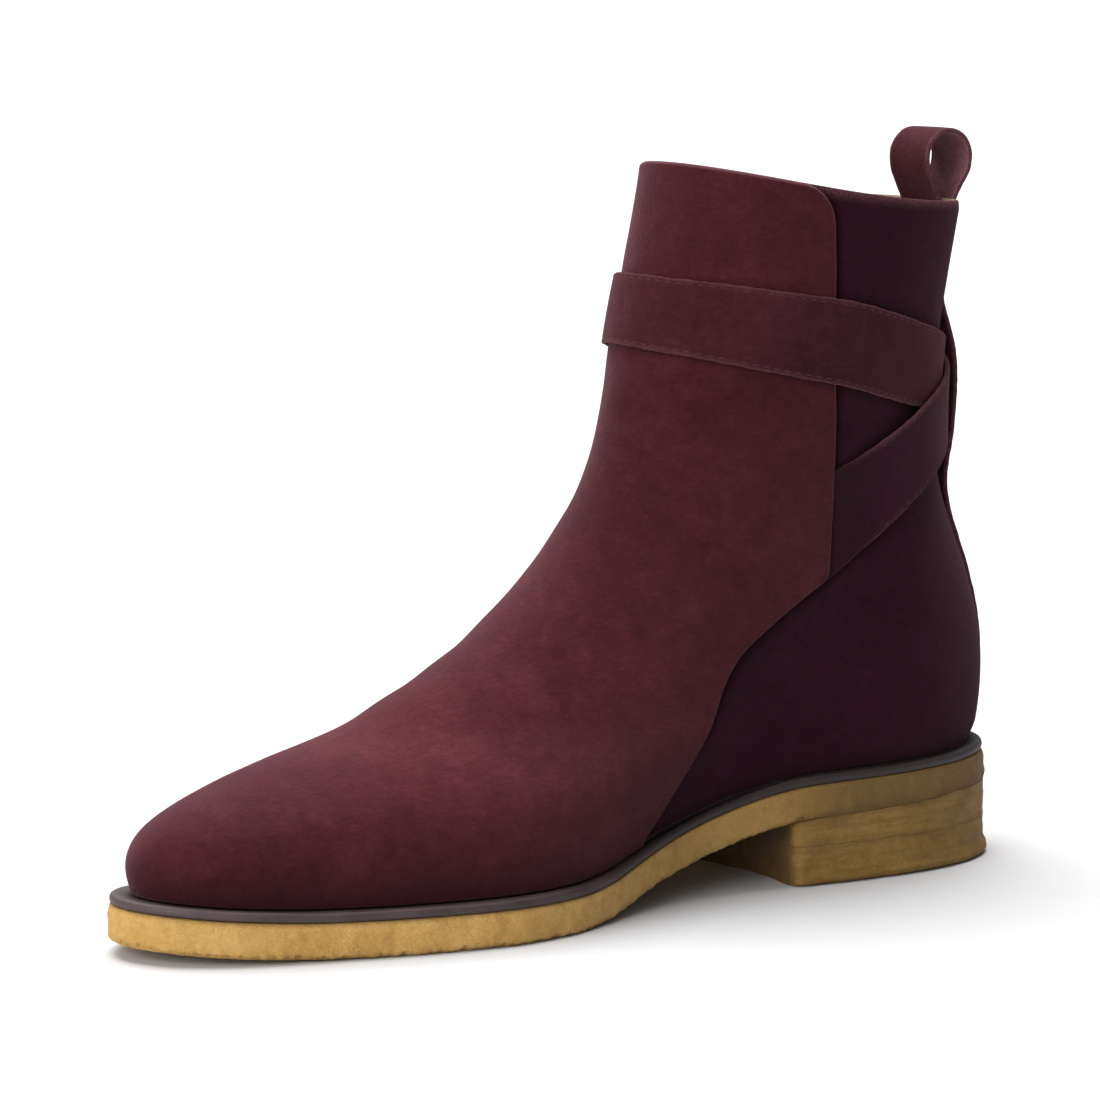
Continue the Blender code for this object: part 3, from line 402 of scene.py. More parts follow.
def relief(p, phi, v):
    """Height of the leather's own relief over the skin."""
    side = np.where(np.sin(phi) >= 0, 1.0, -1.0)
    lean = 0.5 + 0.5 * np.clip(np.sin(phi) / 0.45, -1, 1)
    lean = lean * lean * (3 - 2 * lean)
    out = 0.20 * wobble(p, 46.0, 1) + 0.05 * wobble(p, 17.0, 2)
    for sd, s, z, turn, ln, wd, h in CREASES:
        a, b = math.cos(turn * RAD), math.sin(turn * RAD)
        ds, dz = p[..., 1] - s, p[..., 2] - z
        along, across = ds * a + dz * b, -ds * b + dz * a
        g = h * np.exp(-(along / ln) ** 2 - (across / wd) ** 2)
        out = out + g * (1.0 if sd == 0 else (lean if sd > 0 else 1 - lean))
    rise = np.clip(v / 0.08, 0, 1)
    near = np.exp(-((p[..., 1] - 65.0) / 34.0) ** 2 - ((p[..., 2] - 150.0) / 22.0) ** 2) * (side < 0)
    return out * rise * rise * (3 - 2 * rise) * (1 - 0.95 * near)


def off(phi, v, lift):
    """A point lifted off the skin with its relief."""
    p, n = skin(phi, v), skin_normal(phi, v)
    return p + n * (np.asarray(lift, float) + relief(p, phi, v))[..., None]


def edge_line(side, n=420):
    """The front panel's rear edge on one side, as skin points."""
    v = np.unique(np.concatenate([np.linspace(0, 1, n), even_rows(0.6)]))
    return skin(panel_phi(v, 1 if side > 0 else 2) * side, v)


def even_rows(step):
    """Levels whose crossings with the panel's edges lie about evenly along the edges,
    closer together where an edge runs nearly along a level."""
    fine = np.linspace(0, 1, 8001)
    move = np.zeros(8000)
    for side in (1, -1):
        e = skin(panel_phi(fine, 1 if side > 0 else 2) * side, fine)
        move = np.maximum(move, np.linalg.norm(np.diff(e, axis=0), axis=1))
    cost = move / step * (1 + 1.4 * np.clip((move * 8000 - 500) / 1500, 0, 1))
    cost += np.where(fine[1:] < 0.05, 9 / 400.0, 0) + np.where(fine[1:] > 0.93, 20 / 560.0, 0)
    total = np.concatenate([[0], np.cumsum(cost)])
    return np.interp(np.linspace(0, total[-1], int(total[-1]) + 2), total, fine)


EDGE = {1: edge_line(1), -1: edge_line(-1)}


def nearest(p, line, reach=16.0):
    """Distance to a polyline (reach where it is further) and the place along it."""
    flat = np.ascontiguousarray(p.reshape(-1, 3))
    dist, at = np.full(len(flat), reach), np.zeros(len(flat))
    a, d = line[:-1], np.diff(line, axis=0)
    dd = np.maximum((d * d).sum(1), 1e-12)
    step = 20
    for i in range(0, len(a), step):
        seg, sd, sdd = a[i:i + step], d[i:i + step], dd[i:i + step]
        lo = np.minimum(seg, seg + sd).min(0) - reach
        hi = np.maximum(seg, seg + sd).max(0) + reach
        near = np.where(((flat > lo) & (flat < hi)).all(1))[0]
        if not len(near):
            continue
        q = flat[near][:, None, :] - seg[None]
        t = np.clip((q * sd[None]).sum(-1) / sdd, 0, 1)
        r = np.linalg.norm(q - t[..., None] * sd[None], axis=-1)
        k = r.argmin(1)
        best = r[np.arange(len(k)), k]
        better = best < dist[near]
        dist[near[better]] = best[better]
        at[near[better]] = ((i + k + t[np.arange(len(k)), k]) / len(d))[better]
    return dist.reshape(p.shape[:-1]), at.reshape(p.shape[:-1])


# ------------------------------------------------------------------ making meshes
def smoothstep(x):
    x = np.clip(x, 0, 1)
    return x * x * (3 - 2 * x)


def make(name, verts, faces, mats, which=None, attrs=None, sharp=None, body="root"):
    """A closed mesh from (x, s, z) millimetres, faces turned outwards."""
    me = bpy.data.meshes.new(name)
    me.from_pydata(world(verts).tolist(), [], [tuple(int(i) for i in f) for f in faces])
    for m in mats:
        me.materials.append(m)
    if which is not None:
        me.polygons.foreach_set("material_index", np.asarray(which, np.int32))
    bm = bmesh.new()
    bm.from_mesh(me)
    bmesh.ops.recalc_face_normals(bm, faces=bm.faces)
    if bm.calc_volume(signed=True) < 0:
        bmesh.ops.reverse_faces(bm, faces=bm.faces)
    bm.to_mesh(me)
    bm.free()
    for key, vals in (attrs or {}).items():
        at = me.attributes.new(key, "FLOAT", "POINT")
        at.data.foreach_set("value", np.asarray(vals, np.float32))
    me.shade_smooth()
    if sharp:
        me.set_sharp_from_angle(angle=math.radians(sharp))
    ob = bpy.data.objects.new(name, me)
    bpy.context.scene.collection.objects.link(ob)
    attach(ob, body)
    return ob


def quads(rows, cols, wrap_r=False, wrap_c=False, base=0):
    """Faces of a grid of rows x cols vertices."""
    r = np.arange(rows if wrap_r else rows - 1)
    c = np.arange(cols if wrap_c else cols - 1)
    r, c = np.meshgrid(r, c, indexing="ij")
    r2, c2 = (r + 1) % rows, (c + 1) % cols
    return (base + np.stack([r * cols + c, r * cols + c2, r2 * cols + c2, r2 * cols + c], -1)).reshape(-1, 4)


def shell(name, top, under, mats, which=(0, 0, 0), attrs=None, sharp=None):
    """Two grids of the same size joined all round.  which = material of top, under, wall;
    attrs = {name: (top values, under values)}."""
    r, c = top.shape[:2]
    n = r * c
    f1 = quads(r, c)
    f2 = quads(r, c, base=n)[:, ::-1]
    ring = np.concatenate([np.arange(c), np.arange(1, r) * c + c - 1,
                           (r - 1) * c + np.arange(c - 2, -1, -1), np.arange(r - 2, 0, -1) * c])
    nxt = np.roll(ring, -1)
    wall = np.stack([nxt, ring, ring + n, nxt + n], -1)
    faces = np.concatenate([f1, f2, wall])
    mat = np.concatenate([np.full(len(f1), which[0]), np.full(len(f2), which[1]), np.full(len(wall), which[2])])
    verts = np.concatenate([top.reshape(-1, 3), under.reshape(-1, 3)])
    at = {k: np.concatenate([np.ravel(a), np.ravel(b)]) for k, (a, b) in (attrs or {}).items()}
    return make(name, verts, faces, mats, mat, at, sharp)


def tube_loft(name, secs, mats, which=None, attrs=None, sharp=None):
    """Closed sections of equal even length in a row, both ends closed by cross strips
    (corner i opposite corner n-1-i)."""
    secs = np.asarray(secs, float)
    k, n = secs.shape[:2]
    faces = [quads(k, n, wrap_c=True)]
    mat = [np.tile(np.asarray(which if which is not None else np.zeros(n)), k - 1)]
    for base in (0, (k - 1) * n):
        i = np.arange(n // 2 - 1)
        cap = np.stack([base + i, base + i + 1, base + n - 2 - i, base + n - 1 - i], -1)
        faces.append(cap)
        mat.append(np.zeros(len(cap)))
    at = {key: np.ravel(val) for key, val in (attrs or {}).items()}
    return make(name, secs.reshape(-1, 3), np.concatenate(faces), mats, np.concatenate(mat).astype(int), at, sharp)


def beads(name, places, along, out, length, wide, tall, mat, sides=6, rings=5):
    """Many small stitches in one mesh: rounded rods lying on a surface."""
    places, along, out = (np.asarray(a, float) for a in (places, along, out))
    along = along / np.linalg.norm(along, axis=1, keepdims=True)
    across = np.cross(out, along)
    across /= np.linalg.norm(across, axis=1, keepdims=True)
    up = np.cross(along, across)
    th = (np.arange(rings) + 0.5) / rings * math.pi
    a = np.arange(sides) / sides * 2 * math.pi
    pts = [(-1.0, 0.0, 0.0)]
    for t in th:
        for b in a:
            pts.append((-math.cos(t), math.sin(t) ** 0.6 * math.cos(b), math.sin(t) ** 0.6 * math.sin(b)))
    pts.append((1.0, 0.0, 0.0))
    pts = np.array(pts)
    # the ends dip into the leather
    pts[:, 2] -= 0.9 * pts[:, 0] ** 2
    faces = []
    for i in range(sides):
        j = (i + 1) % sides
        faces.append((0, 1 + j, 1 + i))
        for r in range(rings - 1):
            faces.append((1 + r * sides + i, 1 + r * sides + j, 1 + (r + 1) * sides + j, 1 + (r + 1) * sides + i))
        faces.append((len(pts) - 1, 1 + (rings - 1) * sides + i, 1 + (rings - 1) * sides + j))
    n = len(pts)
    verts = (places[:, None] + pts[None, :, 0:1] * along[:, None] * length / 2
             + pts[None, :, 1:2] * across[:, None] * wide / 2 + pts[None, :, 2:3] * up[:, None] * tall / 2)
    allf = [tuple(i + k * n for i in f) for k in range(len(places)) for f in faces]
    return make(name, verts.reshape(-1, 3), allf, [mat])


def along_points(line, gap, start=0.0, stop=None):
    """Points every gap mm along a polyline, with their directions."""
    line = np.asarray(line, float)
    k = np.concatenate([[0], np.cumsum(np.linalg.norm(np.diff(line, axis=0), axis=1))])
    stop = k[-1] if stop is None else min(stop, k[-1])
    at = np.arange(start + gap / 2, stop, gap)
    p = np.stack([np.interp(at, k, line[:, i]) for i in range(3)], -1)
    q = np.stack([np.interp(at + 0.4, k, line[:, i]) for i in range(3)], -1)
    o = np.stack([np.interp(at - 0.4, k, line[:, i]) for i in range(3)], -1)
    return at, p, q - o


# ------------------------------------------------------------------ materials
class Nodes:
    """A short way to write a node tree."""

    def __init__(self, name, rough, metal=0.0):
        self.m = bpy.data.materials.new(name)
        self.m.use_nodes = True
        self.t = self.m.node_tree
        self.b = self.t.nodes["Principled BSDF"]
        self.b.inputs["Roughness"].default_value = rough
        self.b.inputs["Metallic"].default_value = metal
        self.xyz = self.t.nodes.new("ShaderNodeTexCoord").outputs["Object"]

    def put(self, socket, value):
        if hasattr(value, "is_output"):
            self.t.links.new(value, socket)
        else:
            socket.default_value = value

    def node(self, kind, ins=None, **props):
        n = self.t.nodes.new(kind)
        for k, v in props.items():
            setattr(n, k, v)
        for k, v in (ins or {}).items():
            self.put(n.inputs[k], v)
        return n

    def noise(self, scale, detail=3.0, rough=0.55, stretch=None, distort=0.0):
        vec = self.xyz
        if stretch:
            vec = self.node("ShaderNodeMapping", {"Vector": vec, "Scale": stretch}).outputs[0]
        return self.node("ShaderNodeTexNoise", {"Vector": vec, "Scale": scale, "Detail": detail,
                                                "Roughness": rough, "Distortion": distort}).outputs["Fac"]

    def cells(self, scale, feature="F1", vec=None):
        return self.node("ShaderNodeTexVoronoi", {"Vector": vec or self.xyz, "Scale": scale},
                         feature=feature).outputs["Distance"]

    def attr(self, name):
        return self.node("ShaderNodeAttribute", attribute_name=name).outputs["Fac"]

    def maths(self, op, a, b=0.5, clamp=False):
        n = self.node("ShaderNodeMath", operation=op, use_clamp=clamp)
        self.put(n.inputs[0], a)
        self.put(n.inputs[1], b)
        return n.outputs[0]

    def span(self, x, lo, hi, to_lo=0.0, to_hi=1.0):
        return self.node("ShaderNodeMapRange", {"Value": x, "From Min": lo, "From Max": hi,
                                                "To Min": to_lo, "To Max": to_hi}).outputs[0]

    def mix(self, fac, a, b, blend="MIX"):
        n = self.node("ShaderNodeMix", data_type="RGBA", blend_type=blend)
        self.put(n.inputs["Factor"], fac)
        for key, val in ((6, a), (7, b)):
            self.put(n.inputs[key], val if hasattr(val, "is_output") else (*val, 1.0))
        return n.outputs[2]

    def bump(self, height, strength, distance, below=None):
        n = self.node("ShaderNodeBump", {"Height": height, "Strength": strength, "Distance": distance})
        if below is not None:
            self.put(n.inputs["Normal"], below)
        return n.outputs[0]

    def done(self, colour=None, normal=None, rough=None):
        if colour is not None:
            self.put(self.b.inputs["Base Color"], colour)
        if normal is not None:
            self.put(self.b.inputs["Normal"], normal)
        if rough is not None:
            self.put(self.b.inputs["Roughness"], rough)
        return self.m


def suede(name, dark, mid, light, fuzz, sheen=0.13, tint=(0.62, 0.33, 0.37)):
    """Napped leather: the nap lies a little differently from place to place, short
    fibres, pale raw edges where the attribute edge is set, darker where shade is set."""
    n = Nodes(name, 0.95)
    big = n.noise(38.0, 3.0, 0.5)
    blotch = n.noise(170.0, 4.0, 0.6, distort=0.5)
    nap = n.noise(640.0, 4.0, 0.65, stretch=(1.0, 0.6, 1.4))
    fibre = n.noise(2600.0, 3.0, 0.65)
    fac = n.maths("ADD", n.maths("MULTIPLY", big, 0.26), n.maths("MULTIPLY", blotch, 0.27))
    fac = n.maths("ADD", fac, n.maths("MULTIPLY", nap, 0.27))
    fac = n.maths("ADD", fac, n.maths("MULTIPLY", fibre, 0.20))
    col = n.mix(n.span(fac, 0.40, 0.51), dark, mid)
    col = n.mix(n.span(fac, 0.51, 0.63, 0.0, 0.85), col, light)
    # painted shade: this attribute is 1 on the medial side, which faces away from the light, and makes the colour
    # darker and cooler
    col = n.mix(n.attr("painted_side_shade"), col, (0.455, 0.405, 0.76), "MULTIPLY")
    # painted highlight: this attribute is 1 where the surface faces up towards the light, and makes the colour lighter
    col = n.mix(n.attr("painted_highlight"), col, (1.46, 1.38, 1.38), "MULTIPLY")
    col = n.mix(n.attr("shade"), col, tuple(c * 0.32 for c in dark))
    col = n.mix(n.attr("raw"), col, (0.150, 0.095, 0.055))
    ragged = n.maths("MULTIPLY", n.attr("edge"), n.span(n.noise(1700.0, 2.0, 0.7), 0.28, 0.60), clamp=True)
    col = n.mix(ragged, col, fuzz)
    nor = n.bump(nap, 0.35, 0.0006)
    nor = n.bump(fibre, 0.60, 0.00022, nor)
    n.b.inputs["Specular IOR Level"].default_value = 0.06
    n.b.inputs["Sheen Weight"].default_value = sheen
    n.b.inputs["Sheen Roughness"].default_value = 0.5
    n.b.inputs["Sheen Tint"].default_value = (*tint, 1.0)
    return n.done(col, nor)


def crepe_rubber(name, light, mid, dark, pits=1.0, streak=0.0):
    """Natural crepe: crinkled, mottled amber rubber, a little waxy; streak = marks of
    the buffing wheel along the wall."""
    n = Nodes(name, 0.66)
    big = n.noise(36.0, 4.0, 0.6, distort=0.2)
    mott = n.noise(190.0, 5.0, 0.65, distort=0.2)
    speck = n.noise(1100.0, 3.0, 0.7)
    wrinkle = n.noise(560.0, 5.0, 0.7, stretch=(1.0, 1.0, 1.7), distort=0.8)
    col = n.mix(n.span(big, 0.35, 0.65), mid, light)
    col = n.mix(n.span(mott, 0.44, 0.68, 0.0, 0.50), col, dark)
    col = n.mix(n.span(speck, 0.55, 0.75, 0.0, 0.45), col, tuple(min(c * 1.35, 1.0) for c in light))
    col = n.mix(n.span(speck, 0.42, 0.28, 0.0, 0.50), col, dark)
    if streak:
        lines = n.noise(120.0, 4.0, 0.65, stretch=(0.35, 0.35, 5.0))
        col = n.mix(n.span(lines, 0.46, 0.66, 0.0, streak), col, dark)
    col = n.mix(n.attr("shade"), col, tuple(c * 0.34 for c in dark))
    nor = n.bump(wrinkle, 0.60 * pits, 0.0011)
    nor = n.bump(speck, 0.50 * pits, 0.0004, nor)
    n.b.inputs["Specular IOR Level"].default_value = 0.28
    n.b.inputs["Subsurface Weight"].default_value = 0.12
    n.b.inputs["Subsurface Radius"].default_value = (1.0, 0.55, 0.18)
    n.b.inputs["Subsurface Scale"].default_value = 0.003
    return n.done(col, nor, n.span(mott, 0.3, 0.7, 0.58, 0.80))


def smooth_leather(name, dark, light, rough, grain=1500.0, strength=0.35):
    n = Nodes(name, rough)
    big = n.noise(70.0, 3.0, 0.5)
    pore = n.cells(grain, "F1")
    fine = n.noise(grain * 0.7, 3.0, 0.6)
    col = n.mix(n.span(big, 0.35, 0.65), dark, light)
    col = n.mix(n.span(fine, 0.5, 0.75, 0.0, 0.35), col, tuple(min(c * 1.6, 1.0) for c in light))
    col = n.mix(n.attr("shade"), col, tuple(c * 0.4 for c in dark))
    nor = n.bump(pore, strength, 0.00016)
    nor = n.bump(fine, strength * 0.8, 0.0002, nor)
    n.b.inputs["Specular IOR Level"].default_value = 0.4
    return n.done(col, nor, n.span(fine, 0.3, 0.7, rough - 0.08, rough + 0.12))


def gold(name):
    n = Nodes(name, 0.24, 1.0)
    big = n.noise(240.0, 3.0, 0.5)
    brushed = n.noise(900.0, 3.0, 0.6, stretch=(1.0, 0.12, 1.0))
    col = n.mix(n.span(big, 0.35, 0.65), (0.66, 0.55, 0.34), (0.82, 0.72, 0.50))
    nor = n.bump(brushed, 0.05, 0.00006)
    return n.done(col, nor, n.span(big, 0.3, 0.7, 0.18, 0.32))


def thread(name, dark, light, sheen=0.3):
    n = Nodes(name, 0.8)
    twist = n.noise(2600.0, 2.0, 0.6)
    col = n.mix(n.span(twist, 0.35, 0.65), dark, light)
    n.b.inputs["Sheen Weight"].default_value = sheen
    n.b.inputs["Specular IOR Level"].default_value = 0.2
    return n.done(col, n.bump(twist, 0.5, 0.00012))


SUEDE_PANEL = suede("suede_panel", (0.0276, 0.0049, 0.0072), (0.0420, 0.0076, 0.0110), (0.0640, 0.0140, 0.0188), (0.112, 0.042, 0.050), 0.19)
SUEDE_QUARTER = suede("suede_quarter", (0.0215, 0.0038, 0.0058), (0.0310, 0.0058, 0.0086), (0.0480, 0.0115, 0.0155), (0.100, 0.038, 0.046), 0.09)
SUEDE_STRAP = suede("suede_strap", (0.0240, 0.0046, 0.0070), (0.0356, 0.0072, 0.0105), (0.0540, 0.0132, 0.0180), (0.100, 0.038, 0.046), 0.15)
SUEDE_LOOP = suede("suede_loop", (0.085, 0.032, 0.040), (0.125, 0.052, 0.064), (0.175, 0.082, 0.096), (0.19, 0.095, 0.110))
CREPE = crepe_rubber("crepe_sole", (0.505, 0.310, 0.096), (0.425, 0.248, 0.066), (0.312, 0.172, 0.043))
CREPE_FACE = crepe_rubber("crepe_face", (0.490, 0.292, 0.092), (0.412, 0.238, 0.068), (0.305, 0.168, 0.046), 0.8)
# the heel's crepe: the same rubber in darker colours as painted shade, with buffing streaks
CREPE_HEEL_SHADED = crepe_rubber("crepe_heel_shaded", (0.242, 0.140, 0.034), (0.186, 0.103, 0.0230), (0.126, 0.065, 0.0150), streak=0.55)
WELT_LEATHER = smooth_leather("welt_leather_dark", (0.033, 0.0190, 0.0200), (0.052, 0.0315, 0.0325), 0.58)
LINING = smooth_leather("lining_leather", (0.150, 0.092, 0.052), (0.205, 0.132, 0.079), 0.62, 1100.0)
FOOTBED = smooth_leather("footbed_leather_tan", (0.165, 0.100, 0.055), (0.225, 0.145, 0.085), 0.55, 900.0)
GOLD = gold("pale_gold_metal")
PINK_THREAD = thread("strap_thread", (0.034, 0.0090, 0.0120), (0.058, 0.0190, 0.0235), 0.05)
SOLE_THREAD = thread("sole_thread", (0.46, 0.39, 0.22), (0.60, 0.53, 0.36))

# ------------------------------------------------------------------ upper
# where the flap gapes on the lateral side: place along the panel's edge line, half
# length and how far the edge stands off
GAPES = [  # s, z, half length, stand-off
    (101.0, 80.1, 11.0, 1.3),
    (78.4, 126.0, 9.0, 1.3),
]


def gape(p, phi):
    """How far the panel's edge stands off near p (lateral side only), and the same as
    a part of its largest value."""
    out, part = np.zeros(p.shape[:-1]), np.zeros(p.shape[:-1])
    for s, z, half, h in GAPES:
        r = np.hypot(p[..., 1] - s, p[..., 2] - z)
        g = np.clip(1 - (r / half) ** 2, 0, 1) ** 1.3 * (np.sin(phi) < 0)
        out, part = np.maximum(out, h * g), np.maximum(part, g)
    return out, part


NU = 420
UP_ANGLES = grid_angles(NU)
OUT_LEVELS = np.concatenate([np.linspace(0, 0.06, 12)[:-1], np.linspace(0.06, 1.0, 150)])
IN_LEVELS = np.linspace(1.0, 0.0, 46)


def strap_shade(p):
    """Dark just beside the straps, most of it below them."""
    out = np.zeros(p.shape[:-1])
    for base in (base_a, base_b[:join]):
        for line, depth, wide in ((base[:, 0], 0.92, 2.0), (base[:, -1], 0.50, 1.0)):
            d, _ = nearest(p, line, 5.0)
            out = np.maximum(out, depth * np.exp(-(d / wide) ** 2))
    return out


def upper_piece():
    ph, lv = np.meshgrid(UP_ANGLES, OUT_LEVELS)
    p = skin(ph, lv)
    d1, _ = nearest(p, EDGE[1])
    d2, _ = nearest(p, EDGE[-1])
    d = np.minimum(d1, d2)
    # the quarter sinks a little where the panel's edge is sewn down on it
    _, part = gape(p, ph)
    groove = -0.45 * np.exp(-(d / 1.7) ** 2) - 1.15 * part * np.exp(-(d / 1.9) ** 2)
    tuck = -0.9 * (1 - smoothstep(lv / 0.035))
    rim = -0.55 * smoothstep((lv - 0.988) / 0.012)
    outer = off(ph, lv, groove + tuck + rim)
    low = lv == 0
    outer[..., 2] = np.where(low, np.maximum(outer[..., 2], feather_z(outer[..., 1]) - 0.15), outer[..., 2])
    deep = 0.45 + 0.50 * smoothstep((p[..., 2] - 54.0) / 20.0)
    shade = np.maximum(deep * np.exp(-(d / 1.9) ** 2), 0.6 * (1 - smoothstep(lv / 0.05)))
    shade = np.maximum(shade, strap_shade(p))
    shade = np.clip(np.maximum(shade, 1.3 * part * np.exp(-(d / 1.7) ** 2)), 0, 1)
    # painted shade: 1 on the medial side, which faces away from the light
    painted_side_shade = smoothstep(0.5 + np.sin(ph) / 0.4) * (np.cos(ph) > -0.99)
    edge = smoothstep((lv - 0.990) / 0.010) * 0.9
    # rim: over the raw top edge
    rim_l, rim_r = [], []
    for lift, up in ((-0.75, 0.38), (-1.05, 0.45), (-1.40, 0.38)):
        q = off(UP_ANGLES, np.ones(NU), np.full(NU, lift))
        q[:, 2] += up
        rim_l.append(q)
    ph2, lv2 = np.meshgrid(UP_ANGLES, IN_LEVELS)
    _, part2 = gape(skin(ph2, lv2), ph2)
    inner = skin(ph2, lv2) + skin_normal(ph2, lv2) * (-WALL - 0.5 * part2 + 0.25 * smoothstep((lv2 - 0.985) / 0.015)
                                                      - 0.15 * wobble(skin(ph2, lv2), 38.0, 3))[..., None]
    # lining on the inside, joined to the outside over the collar
    loops = np.concatenate([outer, np.array(rim_l), inner])
    k = len(loops)
    faces = quads(k, NU, wrap_r=True, wrap_c=True)
    rows = np.repeat(np.arange(k), NU)
    which = (rows >= len(outer) + 1).astype(int)
    sh = np.concatenate([shade.ravel(), np.zeros(3 * NU), (0.35 * (1 - smoothstep(lv2 / 0.5))).ravel()])
    ed = np.concatenate([edge.ravel(), np.full(3 * NU, 0.8), np.zeros(lv2.size)])
    la = np.concatenate([painted_side_shade.ravel(), np.tile(painted_side_shade[-1], 3), np.zeros(lv2.size)])
    ob = make("upper_shell", loops.reshape(-1, 3), faces, [SUEDE_QUARTER, LINING], which,
              {"shade": sh, "edge": ed, "painted_side_shade": la})
    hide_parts("upper")
    return ob


# ------------------------------------------------------------------ front panel
NEAR = np.array([0.0, 0.12, 0.3, 0.55, 0.85, 1.25, 1.8, 2.6, 3.7, 5.2, 7.2, 9.8])
PANEL_LEVELS = even_rows(1.6)


def panel_piece():
    mid_cols = 150
    e = panel_phi(PANEL_LEVELS, 1)[:, None]
    f = 2 * math.pi - panel_phi(PANEL_LEVELS, 2)[:, None]
    a = e + (f - e) * np.linspace(0, 1, 500)[None]
    line = skin(a, np.repeat(PANEL_LEVELS[:, None], 500, 1))
    k = np.cumsum(np.linalg.norm(np.diff(line, axis=1), axis=-1), axis=1)
    k = np.concatenate([np.zeros((len(k), 1)), k], 1)
    rows = []
    for j in range(len(k)):
        total = k[j, -1]
        # the columns over the instep keep their places from row to row
        k1, k2 = np.interp([2.25, 2 * math.pi - 2.25], a[j], k[j])
        inner = np.interp(np.arange(mid_cols), [0, 46, mid_cols - 47, mid_cols - 1],
                          [NEAR[-1] + 2.4, k1, k2, total - NEAR[-1] - 2.4])
        rows.append(np.interp(np.concatenate([NEAR, inner, total - NEAR[::-1]]), k[j], a[j]))
    ph = np.array(rows)
    lv = np.repeat(PANEL_LEVELS[:, None], ph.shape[1], 1)
    p = skin(ph, lv)
    d1, _ = nearest(p, EDGE[1])
    d2, _ = nearest(p, EDGE[-1])
    top_d = np.linalg.norm(p - skin(ph, np.ones_like(lv)), axis=-1)
    d = np.minimum(d1, d2)
    # lower down the edge is pared thin, the free flap keeps its full thickness
    free = smoothstep((p[..., 2] - 82.0) / 14.0)
    roll = 0.75 + 0.9 * (1 - free)
    round_off = np.sqrt(np.clip(1 - (1 - np.clip(d / roll, 0, 1)) ** 2, 0, 1))
    round_top = np.sqrt(np.clip(1 - (1 - np.clip(top_d / 0.8, 0, 1)) ** 2, 0, 1))
    body = 1.45
    stand, part = gape(p, ph)
    open_ = stand * np.exp(-(d / 5.0) ** 2)
    raw = part * np.exp(-(d / 0.42) ** 2)
    bulge = 0.18 * np.exp(-((d - 2.6) / 2.2) ** 2) * (1 - free)
    lift = 0.15 + (body - 0.15) * np.minimum(round_off, 1.0) * (0.35 + 0.65 * round_top) + bulge + open_
    under = np.full(lift.shape, 0.10) + open_ * 0.98
    under = np.minimum(under, lift - 0.05)
    tuck = -0.9 * (1 - smoothstep(lv / 0.035))
    top = off(ph, lv, lift + tuck)
    bot = off(ph, lv, under + tuck)
    for g, dz in ((top, 0.0), (bot, -0.15)):
        g[0, :, 2] = np.maximum(g[0, :, 2], feather_z(g[0, :, 1]) + dz)
    top[-1, :, 2] += 0.25
    bot[-1, :, 2] += 0.25
    height = top[..., 2] - feather_z(top[..., 1])
    shade = 0.50 * (1 - smoothstep(lv / 0.05)) + 0.16 * (1 - smoothstep(height / 22.0))
    # painted shade darkens the panel up the shaft; a painted highlight lightens it where it faces up over the vamp and
    # low on the medial side
    shade = shade + 0.15 * smoothstep((p[..., 2] - 78.0) / 34.0)
    shade = np.clip(np.maximum(shade, strap_shade(p)), 0, 1)
    # painted highlight where the panel faces up towards the light
    up = smoothstep((skin_normal(ph, lv)[..., 2] - 0.25) / 0.5)
    painted_highlight = up * np.exp(-((p[..., 1] - 222.0) / 26.0) ** 2) * (0.80 + 0.28 * wobble(p, 16.0, 3))
    painted_highlight = np.clip(painted_highlight + 0.25 * np.exp(-((p[..., 2] - 60.0) / 12.0) ** 2) * smoothstep(0.5 + np.sin(ph)), 0, 1)
    edge = np.exp(-(d / 0.55) ** 2) * (0.45 + 0.5 * free) + np.exp(-(top_d / 0.5) ** 2) * 0.9
    ob = shell("front_panel_suede", top, bot, [SUEDE_PANEL, LINING], (0, 1, 0),
               {"shade": (shade, shade * 0), "edge": (np.clip(edge, 0, 1), edge * 0), "raw": (raw, raw * 0),
                "painted_highlight": (painted_highlight, painted_highlight * 0)})
    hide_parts("front_panel")
    return ob


# ------------------------------------------------------------------ straps
def denser(rows, step):
    """The rows resampled smoothly, about step apart in their first column."""
    r = np.array(rows, float)
    k = np.concatenate([[0], np.cumsum(np.abs(np.diff(r[:, 0])))])
    n = max(int(round(k[-1] / step)), 2)
    return natural(k, r, np.linspace(0, k[-1], n + 1))


def phi_at(s_want, z):
    lo, hi = np.full(np.shape(z), 0.3), np.full(np.shape(z), 2.6)
    for _ in range(40):
        mid = (lo + hi) / 2
        near = skin(mid, level_at(mid, z))[..., 1] < s_want
        lo, hi = np.where(near, mid, lo), np.where(near, hi, mid)
    return lo


ANCHOR = 79.0
ACROSS = np.concatenate([[0.0, 0.03], np.linspace(0.08, 0.92, 11), [0.97, 1.0]])
# edge of a strap in section: distance inside the edge, height as a part of the thickness
EDGE_PROFILE = [(0.0, 0.30), (0.0, 0.66), (0.07, 0.88), (0.24, 0.98), (0.60, 1.02)]
STITCH_IN = 1.25


def tucked(n):
    """0 at the sewn-in end of a strap, 1 from the tenth row on."""
    return smoothstep(np.arange(n) / 10.0)


